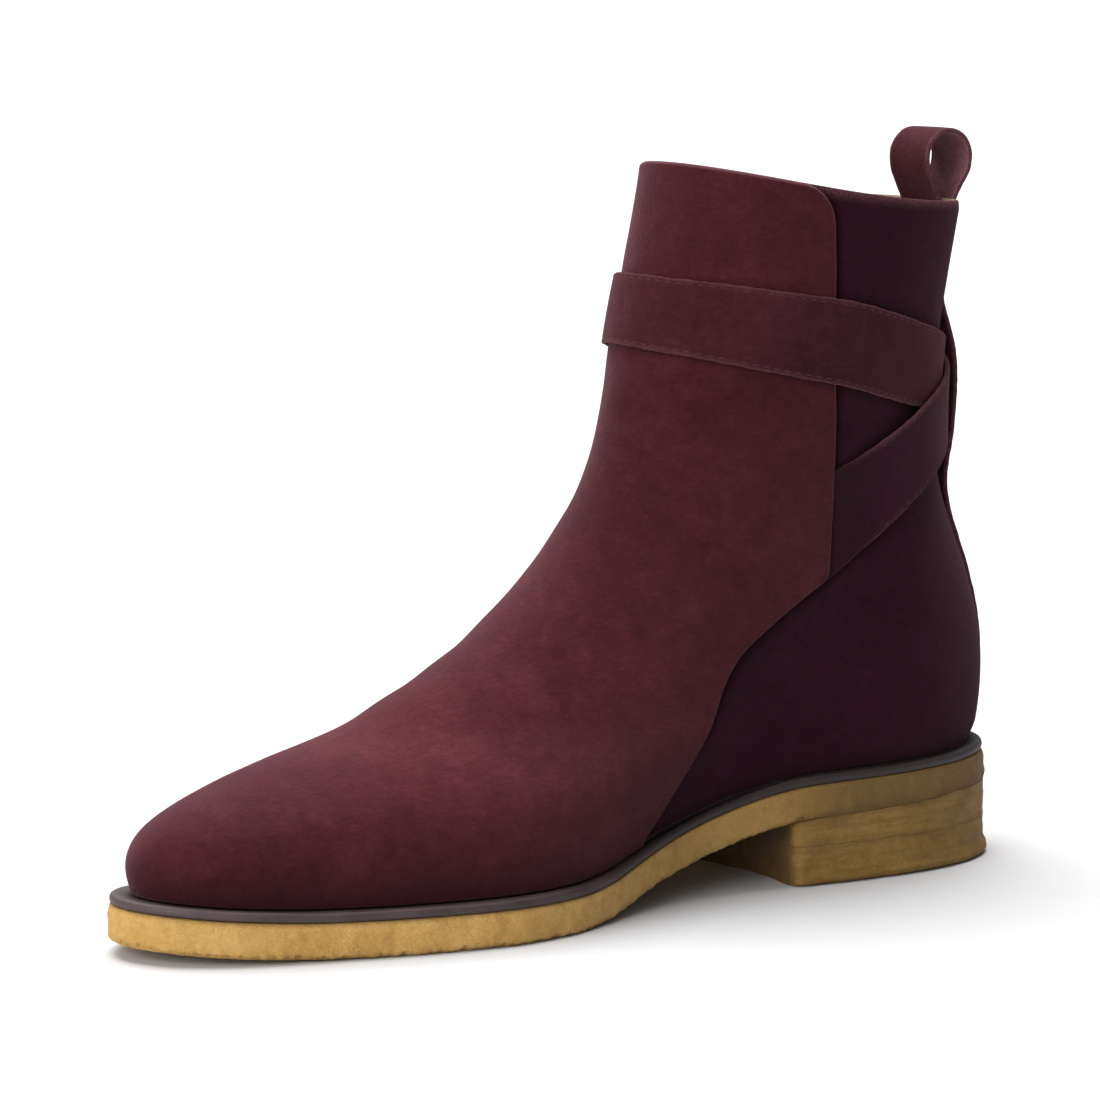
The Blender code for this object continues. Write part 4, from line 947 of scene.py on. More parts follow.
def wrapped(rows, stop):
    """Underside points and outward directions of a strap lying round the shaft."""
    r = np.array(rows, float)
    r[:, 4] = 0.10 + (r[:, 4] - 0.10) * tucked(len(r))
    q = ACROSS[None]
    phi = (r[:, 0:1] + (r[:, 2:3] - r[:, 0:1]) * q) * RAD
    z = r[:, 1:2] + (r[:, 3:4] - r[:, 1:2]) * q
    ends = (np.abs(r[:, 0]) > 58) & (np.sign(r[:, 0]) == stop) & (z.max(1) < 126)
    if ends.any():
        phi[ends] = stop * np.minimum(stop * phi[ends], phi_at(ANCHOR, z[ends]))
    v = level_at(phi, z)
    p, n = skin(phi, v), skin_normal(phi, v)
    return p + n * (r[:, 4:5] + relief(p, phi, v))[..., None], n


def soften(a, k, at, reach):
    """Smooth rows of an array around a place along the strap."""
    out = a.copy()
    w = np.exp(-((np.arange(len(a)) - at) / reach) ** 2)[:, None, None]
    for _ in range(k):
        m = out.copy()
        m[1:-1] = (out[:-2] + out[1:-1] * 2 + out[2:]) / 4
        out = out + (m - out) * w
    return out


def strap_solid(name, base, nrm, thick, mats, seed, node, pale=1.0, painted_side_shade=None):
    """Full strap section from its underside: rounded raw edges, stitch channels."""
    k, n = base.shape[:2]
    width = np.linalg.norm(base[:, -1] - base[:, 0], axis=1)
    tuck = tucked(k)
    secs = []
    qs, hs, es = [], [], []
    for q in ACROSS[1:-1]:
        qs.append((q, 0.0)); hs.append(0.06); es.append(0.0)
    for ins, h in EDGE_PROFILE:
        qs.append((1.0, -ins)); hs.append(h); es.append(1.0 if ins < 0.2 else 0.55)
    top = [0.90, 1.08, 1.25, 1.45, 1.9, 3.2]
    for ins in top:
        dip = 0.10 * math.exp(-((ins - STITCH_IN) / 0.28) ** 2)
        qs.append((1.0, -ins)); hs.append(1.0 + 0.03 - dip); es.append(0.12 if ins < 1.5 else 0.0)
    for q in np.linspace(0.74, 0.26, 7):
        qs.append((q, 0.0)); hs.append(1.0 + 0.05); es.append(0.0)
    for ins in top[::-1]:
        dip = 0.10 * math.exp(-((ins - STITCH_IN) / 0.28) ** 2)
        qs.append((0.0, ins)); hs.append(1.0 + 0.03 - dip); es.append(0.12 if ins < 1.5 else 0.0)
    for ins, h in EDGE_PROFILE[::-1]:
        qs.append((0.0, ins)); hs.append(h); es.append(1.0 if ins < 0.2 else 0.55)
    if len(qs) % 2:
        qs.insert(1, (0.05, 0.0)); hs.insert(1, 0.06); es.insert(1, 0.0)
    for j in range(k):
        shrink = min(width[j] / 14.0, 1.0)
        col = np.array([q + d * shrink / width[j] for q, d in qs])
        col = np.clip(col, 0, 1)
        b = np.stack([np.interp(col, ACROSS, base[j, :, i]) for i in range(3)], -1)
        nn = np.stack([np.interp(col, ACROSS, nrm[j, :, i]) for i in range(3)], -1)
        secs.append(b + nn * (np.array(hs) * thick * (0.45 + 0.55 * tuck[j]))[:, None])
    secs = np.array(secs)
    # raw edges wander a little
    jit = 0.10 * wobble(secs, 5.0, seed) + 0.06 * wobble(secs, 1.9, seed + 1)
    cross = base[:, -1] - base[:, 0]
    cross /= np.linalg.norm(cross, axis=1, keepdims=True)
    side = np.array([1.0 if q > 0.5 else -1.0 for q, _ in qs])
    secs = secs + cross[:, None] * (jit * np.array(es) * side)[..., None]
    ed = np.tile(np.array(es) * pale, (k, 1)) * (0.2 + 0.8 * tuck[:, None])
    sh = np.repeat(0.55 * (1 - tuck[:, None]), len(qs), 1)
    # painted shade, given per row (none when not given)
    la = np.repeat((np.zeros(k) if painted_side_shade is None else painted_side_shade)[:, None], len(qs), 1)
    ob = tube_loft(name, secs, mats, attrs={"edge": ed, "shade": sh, "painted_side_shade": la})
    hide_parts(node)
    return ob


def seam_on(base, nrm, thick, ins, upper_edge):
    """Line of a stitch row near one edge of a strap, with its outward directions."""
    width = np.linalg.norm(base[:, -1] - base[:, 0], axis=1)
    col = 1 - ins / width if upper_edge else ins / width
    p = np.stack([[np.interp(c, ACROSS, base[j, :, i]) for i in range(3)] for j, c in enumerate(col)])
    n = np.stack([[np.interp(c, ACROSS, nrm[j, :, i]) for i in range(3)] for j, c in enumerate(col)])
    return p + n * thick, n


def stitch_rows(lines, gap=3.3, length=2.35, start=0.0, stop=None):
    ps, ds, ns = [], [], []
    for line, n in lines:
        at, p, d = along_points(line, gap, start, stop)
        k = np.concatenate([[0], np.cumsum(np.linalg.norm(np.diff(line, axis=0), axis=1))])
        nn = np.stack([np.interp(at, k, n[:, i]) for i in range(3)], -1)
        ps.append(p); ds.append(d); ns.append(nn)
    return np.concatenate(ps), np.concatenate(ds), np.concatenate(ns)


rows_a = denser(STRAP_OUTER, 1.5)
base_a, nrm_a = wrapped(rows_a, 1)
# painted shade on the part of this strap on the medial side
strap_solid("strap_to_buckle", base_a, nrm_a, STRAP, [SUEDE_STRAP], 4, "strap_buckle", 0.7,
            smoothstep(0.5 + rows_a[:, 0] / 50.0))
pa, da, na = stitch_rows([seam_on(base_a[8:], nrm_a[8:], STRAP * 0.95, STITCH_IN, u) for u in (True, False)])
st = beads("strap_to_buckle_stitches", pa, da, na, 2.2, 0.40, 0.32, PINK_THREAD)

# frame of the buckle: e1 along the strap towards the tongue, e2 across, e3 outwards
_phi = np.array([BUCKLE_AT[0] * RAD])
_lev = level_at(_phi, np.array([BUCKLE_AT[1]]))
B0 = skin(_phi, _lev)[0]
B3 = skin_normal(_phi, _lev)[0]
_a = skin(_phi + 0.1, level_at(_phi + 0.1, np.array([BUCKLE_AT[1] - 1.2])))[0]
_b = skin(_phi - 0.1, level_at(_phi - 0.1, np.array([BUCKLE_AT[1] + 1.2])))[0]
B1 = _a - _b
B1 -= B3 * (B1 @ B3)
B1 /= np.linalg.norm(B1)
B2 = np.cross(B3, B1)
if B2[2] < 0:
    B2 = -B2


def at_buckle(u, w, h):
    """A point u along, w across and h above the boot's side at the buckle."""
    u, w, h = np.broadcast_arrays(np.asarray(u, float), np.asarray(w, float), np.asarray(h, float))
    return B0 + u[..., None] * B1 + w[..., None] * B2 + h[..., None] * B3


def drop(u, w):
    """How far the boot's side falls away below the buckle's plane at (u, w)."""
    p = at_buckle(u, w, 0.0)
    phi = np.full(np.shape(u), _phi[0])
    for _ in range(12):
        v = level_at(phi, p[..., 2])
        e = skin(phi, v)
        t = (skin(phi + 1e-3, v) - e) / 1e-3
        phi = phi + np.sum((p - e) * t, -1) / np.sum(t * t, -1)
    v = level_at(phi, p[..., 2])
    return -np.sum((skin(phi, v) - p) * B3, -1)


run = np.array(BUCKLE_RUN, float)
us = np.linspace(run[0, 0], run[-4, 0], 74)
dense = np.concatenate([us[:, None], natural(run[:, 0], run[:, 1:], us)], 1)
# round end of the tongue
tip0, tip1 = run[-4], run[-1]
tip = []
for k in np.linspace(0.06, 1.0, 16):
    half = tip0[2] * math.sqrt(max(1 - k ** 2.0, 0.0)) + 0.9 * k
    tip.append((tip0[0] + (tip1[0] - tip0[0]) * k, 0.0, half, tip0[3] + (tip1[3] - tip0[3]) * k))
dense = np.concatenate([dense, np.array(tip)])
_u = np.repeat(dense[:, 0:1], len(ACROSS), 1)
_w = dense[:, 1:2] + dense[:, 2:3] * (2 * ACROSS[None] - 1)
base_t = at_buckle(_u, _w, dense[:, 3:4] - drop(_u, _w) * np.minimum(np.abs(_u) / 11.0, 1.0))
du = np.gradient(base_t, axis=0)
dw = np.gradient(base_t, axis=1)
nrm_t = np.cross(du, dw)
nrm_t /= np.linalg.norm(nrm_t, axis=-1, keepdims=True)
if (nrm_t[20, 7] @ B3) < 0:
    nrm_t = -nrm_t
rows_b = denser(STRAP_INNER, 1.5)
base_w, nrm_w = wrapped(rows_b, -1)
join = len(base_w)
base_b = soften(np.concatenate([base_w, base_t]), 6, join, 5.0)
nrm_b = soften(np.concatenate([nrm_w, nrm_t]), 12, join, 8.0)
nrm_b /= np.linalg.norm(nrm_b, axis=-1, keepdims=True)
mid_b = base_b[:, base_b.shape[1] // 2]
# painted shade on the rear part of this strap on the medial side
strap_b = strap_solid("strap_with_tongue", base_b, nrm_b, STRAP, [SUEDE_STRAP], 6, "strap_tongue",
                      0.7,
                      0.5 * smoothstep((104.0 - mid_b[:, 1]) / 20.0) * smoothstep((mid_b[:, 0] - 2.0) / 12.0))
body_rows = join + 74
pb, db, nb = stitch_rows([seam_on(base_b[8:body_rows], nrm_b[8:body_rows], STRAP * 0.95, STITCH_IN, u)
                          for u in (True, False)])
upper_piece()
panel_piece()
st = beads("strap_with_tongue_stitches", pb, db, nb, 2.2, 0.40, 0.32, PINK_THREAD)


# ------------------------------------------------------------------ buckle
def buckle_piece():
    """Square frame with chamfered bars and a round bar across its middle."""
    hl, hw, b = BUCKLE_LONG / 2, BUCKLE_WIDE / 2, BUCKLE_BAR
    h0, t = BUCKLE_UNDER, BUCKLE_THICK
    prof = [(0.0, 0.25), (0.0, t * 0.55), (0.18, t * 0.80), (0.55, t * 0.95), (1.05, t), (b - 1.05, t),
            (b - 0.55, t * 0.95), (b - 0.18, t * 0.80), (b, t * 0.55), (b, 0.25), (b - 0.25, 0.0), (0.25, 0.0)]
    rad = 2.0
    centre, turn = [], []
    for cx, cy, a0 in ((hl, hw, 0), (-hl, hw, 90), (-hl, -hw, 180), (hl, -hw, 270)):
        sx, sy = math.copysign(1, cx), math.copysign(1, cy)
        for a in np.linspace(0, 90, 9):
            centre.append((cx - sx * rad, cy - sy * rad))
            turn.append((a0 + a) * RAD)
        # straight bars get a few stations between the corners
    rings = []
    pts = list(zip(centre, turn))
    out = []
    for k, (c, a) in enumerate(pts):
        out.append((c, a))
        if k % 9 == 8:
            c2 = pts[(k + 1) % len(pts)][0]
            for f in np.linspace(0, 1, 10)[1:-1]:
                out.append(((c[0] + (c2[0] - c[0]) * f, c[1] + (c2[1] - c[1]) * f), a))
    for (cx, cy), a in out:
        ring = []
        for d, h in prof:
            r = rad - d
            if r > 0.15:
                x, y = cx + r * math.cos(a), cy + r * math.sin(a)
            else:
                # inner corner: nearly square, with a small radius
                r2 = 0.15
                sx = 1 if math.cos(a) > 1e-9 else (-1 if math.cos(a) < -1e-9 else 0)
                sy = 1 if math.sin(a) > 1e-9 else (-1 if math.sin(a) < -1e-9 else 0)
                x = cx + r2 * math.cos(a) - (0.15 - r) * (sx if sx else 0)
                y = cy + r2 * math.sin(a) - (0.15 - r) * (sy if sy else 0)
            ring.append((x, y, h0 + h))
        rings.append(ring)
    rings = np.array(rings)
    verts = at_buckle(rings[..., 0], rings[..., 1], rings[..., 2])
    ob = make("buckle", verts.reshape(-1, 3), quads(len(rings), len(prof), wrap_r=True, wrap_c=True), [GOLD], sharp=50)
    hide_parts("buckle_frame")
    # centre bar
    a = np.arange(16) / 16 * 2 * math.pi
    mid = sum(CENTRE_BAR) / 2
    r = (CENTRE_BAR[1] - CENTRE_BAR[0]) / 2
    secs = []
    for w in np.linspace(-hw + b - 0.8, hw - b + 0.8, 14):
        f = 1.0
        up = max(0.0, abs(w) - (hw - b - 1.6)) * 0.35
        secs.append(at_buckle(r * f * np.cos(a), np.full(16, w), mid + up + r * f * np.sin(a)))
    cb = tube_loft("buckle_centre_bar", secs, [GOLD], sharp=50)


buckle_piece()


def prong_piece():
    r = np.array(PRONG, float)
    k = np.concatenate([[0], np.cumsum(np.hypot(*np.diff(r[:, :2], axis=0).T))])
    fine = natural(k, r, np.linspace(0, k[-1], 60))
    d = np.gradient(fine[:, :2], axis=0)
    d /= np.linalg.norm(d, axis=1, keepdims=True)
    a = np.arange(18) / 18 * 2 * math.pi
    secs = []
    for j, ((u, h, rad), (tu, th)) in enumerate(zip(fine, d)):
        end = min(j, len(fine) - 1 - j)
        rr = max(rad, 0.2) * min(1.0, 0.45 + 0.28 * end)
        secs.append(at_buckle(u - th * rr * np.cos(a), rr * np.sin(a), h + tu * rr * np.cos(a)))
    ob = tube_loft("prong", secs, [GOLD], sharp=50)
    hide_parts("buckle_prong")


prong_piece()

# ------------------------------------------------------------------ strip up the back
STAY_COLS = np.linspace(-1, 1, 15) * STAY_WIDTH / 2


def flat_solid(name, base, nrm, thick, mats, seed, which=None, pale=1.0, ends=True):
    """Strip from the grid of its underside: rounded long edges."""
    k, n = base.shape[:2]
    cross = base[:, -1] - base[:, 0]
    width = np.linalg.norm(cross, axis=1)
    cross /= width[:, None]
    pos = (np.linspace(0, 1, n))
    qs, hs, es, wh = [], [], [], []
    for q in np.linspace(0.05, 0.95, 9):
        qs.append((q, 0.0)); hs.append(0.0); es.append(0.0); wh.append(1)
    for ins, h in [(0.25, 0.06)] + EDGE_PROFILE:
        qs.append((1.0, -ins)); hs.append(h); es.append(1.0 if ins < 0.3 else 0.5); wh.append(0)
    for ins in (1.3, 2.2, 3.4):
        qs.append((1.0, -ins)); hs.append(1.03); es.append(0.0); wh.append(0)
    for q in np.linspace(0.72, 0.28, 6):
        qs.append((q, 0.0)); hs.append(1.04); es.append(0.0); wh.append(0)
    for ins in (3.4, 2.2, 1.3):
        qs.append((0.0, ins)); hs.append(1.03); es.append(0.0); wh.append(0)
    for ins, h in EDGE_PROFILE[::-1] + [(0.25, 0.06)]:
        qs.append((0.0, ins)); hs.append(h); es.append(1.0 if ins < 0.3 else 0.5); wh.append(0)
    if len(qs) % 2:
        qs.insert(1, (0.1, 0.0)); hs.insert(1, 0.0); es.insert(1, 0.0); wh.insert(1, 1)
    secs = []
    for j in range(k):
        col = np.clip(np.array([q + d / width[j] for q, d in qs]), 0, 1)
        b = np.stack([np.interp(col, pos, base[j, :, i]) for i in range(3)], -1)
        nn = np.stack([np.interp(col, pos, nrm[j, :, i]) for i in range(3)], -1)
        secs.append(b + nn * (np.array(hs) * thick)[:, None])
    secs = np.array(secs)
    jit = 0.10 * wobble(secs, 5.0, seed) + 0.05 * wobble(secs, 1.9, seed + 1)
    side = np.array([1.0 if q > 0.5 else -1.0 for q, _ in qs])
    secs = secs + cross[:, None] * (jit * np.array(es) * side)[..., None]
    ed = np.tile(np.array(es) * pale, (k, 1))
    if ends:
        ed[:2] = np.maximum(ed[:2], 0.8 * pale)
        ed[-2:] = np.maximum(ed[-2:], 0.8 * pale)
    return tube_loft(name, secs, mats, which=np.array(wh) if which else None, attrs={"edge": ed, "shade": ed * 0})


def stay_piece():
    rows = np.array(STAY_ROWS, float)
    z = np.linspace(rows[0, 0], rows[-1, 0], 110)
    lift = natural(rows[:, 0], rows[:, 1], z)
    cols = np.repeat(STAY_COLS[None], len(z), 0)
    zz = np.repeat(z[:, None], len(STAY_COLS), 1)
    half = table2(RINGS, level_at(np.zeros(len(z)), z), np.zeros(len(z)))[:, None]
    phi = np.arcsin(np.clip(cols / half, -0.95, 0.95))
    v = level_at(phi, zz)
    p, nrm = skin(phi, v), skin_normal(phi, v)
    base = p + nrm * (lift[:, None] + relief(p, phi, v) * 0.5)[..., None]
    ob = flat_solid("back_strip", base, nrm, STAY, [SUEDE_STRAP, LINING], 8)
    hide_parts("back_stay")
    return base, nrm


stay_base, stay_nrm = stay_piece()


# ------------------------------------------------------------------ pull loop
def back_s(z):
    return float(skin(np.array(0.0), level_at(np.array(0.0), np.array(z)))[1])


def loop_piece():
    top_s, top_z = back_curve(1.0)
    path = []
    for z in np.linspace(167.5, top_z - 1.0, 6):
        path.append((back_s(z) - 0.6 - STAY / 2, z))
    path += [(top_s + ds, top_z + dz) for ds, dz in LOOP_ROWS]
    for z in np.linspace(top_z - 1.0, 170.0, 5):
        path.append((back_s(z) + WALL * 1.03 + 0.7 + STAY / 2, z))
    path = np.array(path)
    k = np.concatenate([[0], np.cumsum(np.hypot(*np.diff(path, axis=0).T))])
    fine = natural(k, path, np.linspace(0, k[-1], 130))
    d = np.gradient(fine, axis=0)
    d /= np.linalg.norm(d, axis=1, keepdims=True)
    zz = np.minimum(fine[:, 1], float(top_z) - 0.5)
    v0 = level_at(np.zeros(len(zz)), zz)
    half = table2(RINGS, v0, np.zeros(len(zz)))[:, None]
    phi = np.arcsin(np.clip(STAY_COLS[None] / half, -0.95, 0.95))
    zc = np.repeat(zz[:, None], len(STAY_COLS), 1)
    bow = skin(phi, level_at(phi, zc))[..., 1] - skin(np.zeros(len(zz)), v0)[:, 1:2]
    bow = bow * (1.0 - 0.5 * np.clip((fine[:, 1:2] - top_z) / 10.0, 0, 1))
    mid = table2(MIDDLE, v0, np.zeros(len(zz)))[:, None]
    # outside of the loop is the side away from its hollow
    ns, nz = -d[:, 1:2], d[:, 0:1]
    base = np.stack([STAY_COLS[None] + mid, fine[:, 0:1] + bow - ns * STAY / 2,
                     np.repeat(fine[:, 1:2] - nz * STAY / 2, len(STAY_COLS), 1)], -1)
    nrm = np.stack([np.zeros(phi.shape), ns + 0 * phi, nz + 0 * phi], -1)
    ob = flat_solid("pull_tab_loop", base, nrm, STAY, [SUEDE_STRAP, SUEDE_LOOP], 9, which=True)
    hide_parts("pull_loop")
    return base, nrm


loop_base, loop_nrm = loop_piece()


# ------------------------------------------------------------------ sole
def welt_piece():
    n = 420
    ph = grid_angles(n)
    rows = []
    spec = [  # inside the sole edge, height above the outsole's top
        (1.9, 0.12), (1.0, 0.15), (0.62, 0.45), (0.48, 0.95), (0.46, 1.45), (0.58, 2.0), (0.85, 2.42),
        (1.25, 2.68), (1.8, 2.78), (2.5, 2.80),
    ]
    for ins, h in spec:
        xs = sole_ring(ph, ins)
        rows.append(np.concatenate([xs, (sole_rise(xs[:, 1]) + OUTSOLE + h)[:, None]], 1))
    for ins, h in ((-0.4, 2.76), (0.8, 2.62), (6.5, 2.6), (6.5, 0.3)):
        xs = plan_ring(ph, np.full(n, -ins))
        rows.append(np.concatenate([xs, (sole_rise(xs[:, 1]) + OUTSOLE + h)[:, None]], 1))
    v = np.array(rows)
    v[1:9, :, 2] += 0.10 * wobble(v[1:9], 30.0, 5)
    v[2:7, :, :2] += (0.08 * wobble(v[2:7], 9.0, 6))[..., None] * 0.7
    shade = np.zeros(v.shape[:2])
    shade += 0.72 * smoothstep((170.0 - v[..., 1]) / 60.0)
    shade[:2] = 0.8
    shade[-4:] = 0.7
    ob = make("welt_strip", v.reshape(-1, 3), quads(len(rows), n, wrap_r=True, wrap_c=True), [WELT_LEATHER],
              attrs={"shade": shade.ravel()})
    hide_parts("welt")


welt_piece()

# row of stitches under the sole, inside its edge
SOLE_SEAM = [  # s, inset on the medial side, inset on the lateral side
    (112.0, 9.0, 7.2), (125.0, 8.6, 7.0), (140.0, 8.0, 7.0), (155.0, 8.0, 7.2), (165.0, 8.9, 7.4), (178.0, 11.0, 8.2),
    (200.0, 11.6, 10.0), (218.0, 10.0, 10.7), (240.0, 9.2, 10.5), (262.0, 9.2, 9.8), (282.0, 9.0, 9.0), (296.0, 8.8, 8.8),
]


def seam_line(n=700):
    """Closed path of the seam from the medial waist round the toe to the lateral waist."""
    ph = np.linspace(0.9, 2 * math.pi - 0.9, n)
    edge = sole_ring(ph, 0.0)
    ins = np.where(ph < math.pi, monotone(SOLE_SEAM, edge[:, 1], 1), monotone(SOLE_SEAM, edge[:, 1], 2))
    p = plan_ring(ph, sole_reach(ph) - ins)
    keep = (p[:, 1] > 112.0)
    return np.concatenate([p[keep], sole_rise(p[keep][:, 1])[:, None]], 1)


SEAM = seam_line()


def joint_rise(s):
    """How far the joint of outsole and heel lies above the outsole's flat underside."""
    return 0.5 * smoothstep((96.0 - s) / 8.0) + 1.3 * smoothstep((88.0 - s) / 80.0)


def outsole_piece():
    n = 900
    ph = np.arange(n) / n * 2 * math.pi
    ph = ph + 0.06 * np.sin(2 * ph)
    side = [  # inside the edge, part of the height
        (1.5, 0.0), (0.70, 0.030), (0.22, 0.085), (0.03, 0.18), (0.0, 0.32), (0.05, 0.46), (0.10, 0.60),
        (0.22, 0.74), (0.30, 0.86), (0.55, 0.95), (1.1, 1.0),
    ]
    rings = []
    for ins, f in side:
        flush = smoothstep((95.0 - sole_ring(ph, 0.0)[:, 1]) / 7.0) if f < 0.3 else 0.0
        xs = sole_ring(ph, ins * (1 - 0.9 * flush))
        low = joint_rise(xs[:, 1])
        rings.append(np.concatenate([xs, (sole_rise(xs[:, 1]) + low + (OUTSOLE - low) * f)[:, None]], 1))
    rings = np.array(rings)
    # cut rubber: the wall waves gently and its lower edge is ragged
    wav = 0.22 * wobble(rings, 21.0, 7) + 0.16 * wobble(rings, 6.0, 8) + 0.16 * wobble(rings, 2.6, 9)
    fade = np.array([0.5, 1.0, 1.0, 1, 1, 1, 1, 1, 0.9, 0.5, 0.2])[:, None]
    d = sole_ring(ph, 1.0) - sole_ring(ph, 0.0)
    rings[..., :2] -= d[None] * (wav * fade)[..., None]
    low = 0.48 * np.abs(wobble(rings[0], 5.0, 10)) + 0.90 * np.abs(wobble(rings[0], 2.1, 11))
    for j, f in enumerate((0.5, 0.9, 0.55, 0.25)):
        rings[j, :, 2] += low * f * (rings[j, :, 1] > 84)
    rings[0, :, 2] -= 0.0
    half = n // 2
    m = 72
    frac = np.linspace(0, 1, m + 2)[1:-1]
    frac = frac - 0.11 * np.sin(2 * math.pi * frac) / (2 * math.pi) * 2
    verts = [rings.reshape(-1, 3)]
    faces = [quads(len(rings), n, wrap_c=True)]
    count = rings.size // 3
    for which, ring in ((0, rings[0]), (1, rings[-1])):
        base_ring = 0 if which == 0 else (len(rings) - 1) * n
        grid = np.zeros((half - 1, m, 3))
        for r in range(1, half):
            a, b = ring[r], ring[n - r]
            grid[r - 1] = a + (b - a) * frac[:, None]
        z = sole_rise(grid[..., 1]) + (joint_rise(grid[..., 1]) if which == 0 else OUTSOLE)
        if which == 0:
            dist, _ = nearest(np.concatenate([grid[..., :2], z[..., None]], -1), SEAM)
            z = z + 0.75 * np.exp(-(dist / 0.95) ** 2) + 0.10 * np.abs(wobble(grid, 7.0, 3)) + 0.05 * np.abs(wobble(grid, 2.8, 4))
            seam_d = dist
        grid[..., 2] = z
        idx = np.zeros((half - 1, m + 2), int)
        idx[:, 1:-1] = count + np.arange((half - 1) * m).reshape(half - 1, m)
        idx[:, 0] = base_ring + np.arange(1, half)
        idx[:, -1] = base_ring + n - np.arange(1, half)
        q = np.stack([idx[:-1, :-1], idx[:-1, 1:], idx[1:, 1:], idx[1:, :-1]], -1).reshape(-1, 4)
        faces.append(q if which else q[:, ::-1])
        tips = []
        for row, pole in ((0, base_ring), (half - 2, base_ring + half)):
            for j in range(m + 1):
                tips.append((idx[row, j], idx[row, j + 1], pole))
        faces.append(tips)
        verts.append(grid.reshape(-1, 3))
        count += grid.size // 3
    allf = [tuple(f) for block in faces for f in block]
    verts = np.concatenate(verts)
    which = np.zeros(len(allf), int)
    side_n = len(faces[0])
    which[side_n:side_n + len(faces[1]) + len(faces[2])] = 1
    shade = np.zeros(len(verts))
    nb = rings.size // 3
    shade[nb:nb + seam_d.size] = 0.35 * np.exp(-(seam_d.ravel() / 0.9) ** 2)
    wall = 0.30 * smoothstep((175.0 - rings[..., 1]) / 50.0) + 0.10 * smoothstep((150.0 - rings[..., 1]) / 30.0) + 0.52 * smoothstep((108.0 - rings[..., 1]) / 40.0)
    heel = smoothstep((96.0 - rings[..., 1]) / 8.0) * (0.8 + 0.4 * wobble(rings, 14.0, 6))
    wall += heel * np.array([0.30, 0.25, 0.16, 0.06, 0, 0, 0, 0, 0, 0, 0])[:, None]
    wall[-1], wall[-2] = 0.6, np.maximum(wall[-2], 0.3)
    shade[:nb] = np.clip(wall, 0, 1).ravel()
    under = np.concatenate([verts[nb:nb + seam_d.size, 1]])
    shade[nb:nb + seam_d.size] += 0.45 * smoothstep((172.0 - under) / 30.0) * smoothstep((under - 84.0) / 8.0)
    ob = make("outsole_crepe", verts, allf, [CREPE, CREPE_FACE], which, {"shade": shade})
    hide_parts("outsole")


outsole_piece()
at, ps, ds = along_points(SEAM, 4.3)
ps[:, 2] += 0.42
st = beads("sole_stitches", ps, ds, np.tile([0.0, 0.0, -1.0], (len(ps), 1)), 3.5, 0.95, 0.7, SOLE_THREAD)


def heel_ring(inset, z, n_back=150, n_breast=60):
    """Heel outline at height z (below the outsole if z is negative): round the back,
    across the hollow breast."""
    lim = 1.0
    a = np.linspace(0.02, 3.0, 400)
    sm, sl = sole_ring(a, inset)[:, 1], sole_ring(-a, inset)[:, 1]
    pm = np.interp(HEEL_LENGTH - lim, sm, a)
    pl = np.interp(HEEL_LENGTH - lim, sl, a)
    round_back = sole_ring(np.linspace(-pl, pm, n_back), inset)
    lat, med = round_back[0], round_back[-1]
    k = np.linspace(0, 1, n_breast + 2)[1:-1]
    line = med + (lat - med) * k[:, None]
    bow = np.clip(np.sin(math.pi * k), 0, 1) ** 0.8
    line[:, 1] = line[:, 1] + 1.4 * np.clip(1 - np.abs(2 * k - 1), 0, 0.15) / 0.15 - BREAST_HOLLOW * bow
    p = np.concatenate([round_back, line])
    # corners of the breast rounded
    q = np.concatenate([p, p[:1]])
    k = np.concatenate([[0], np.cumsum(np.hypot(*np.diff(q, axis=0).T))])
    w = np.array([1.0, 2.0, 3.0, 4.0, 3.0, 2.0, 1.0])
    at = (k[:-1, None] + np.linspace(-3.3, 3.3, 7)[None]) % k[-1]
    p = np.stack([(np.interp(at, k, q[:, i]) * w).sum(1) / w.sum() for i in (0, 1)], -1)
    tall = sole_rise(p[:, 1]) + joint_rise(p[:, 1]) + z if z < 0 else np.full(len(p), z)
    return np.concatenate([p, tall[:, None]], 1)


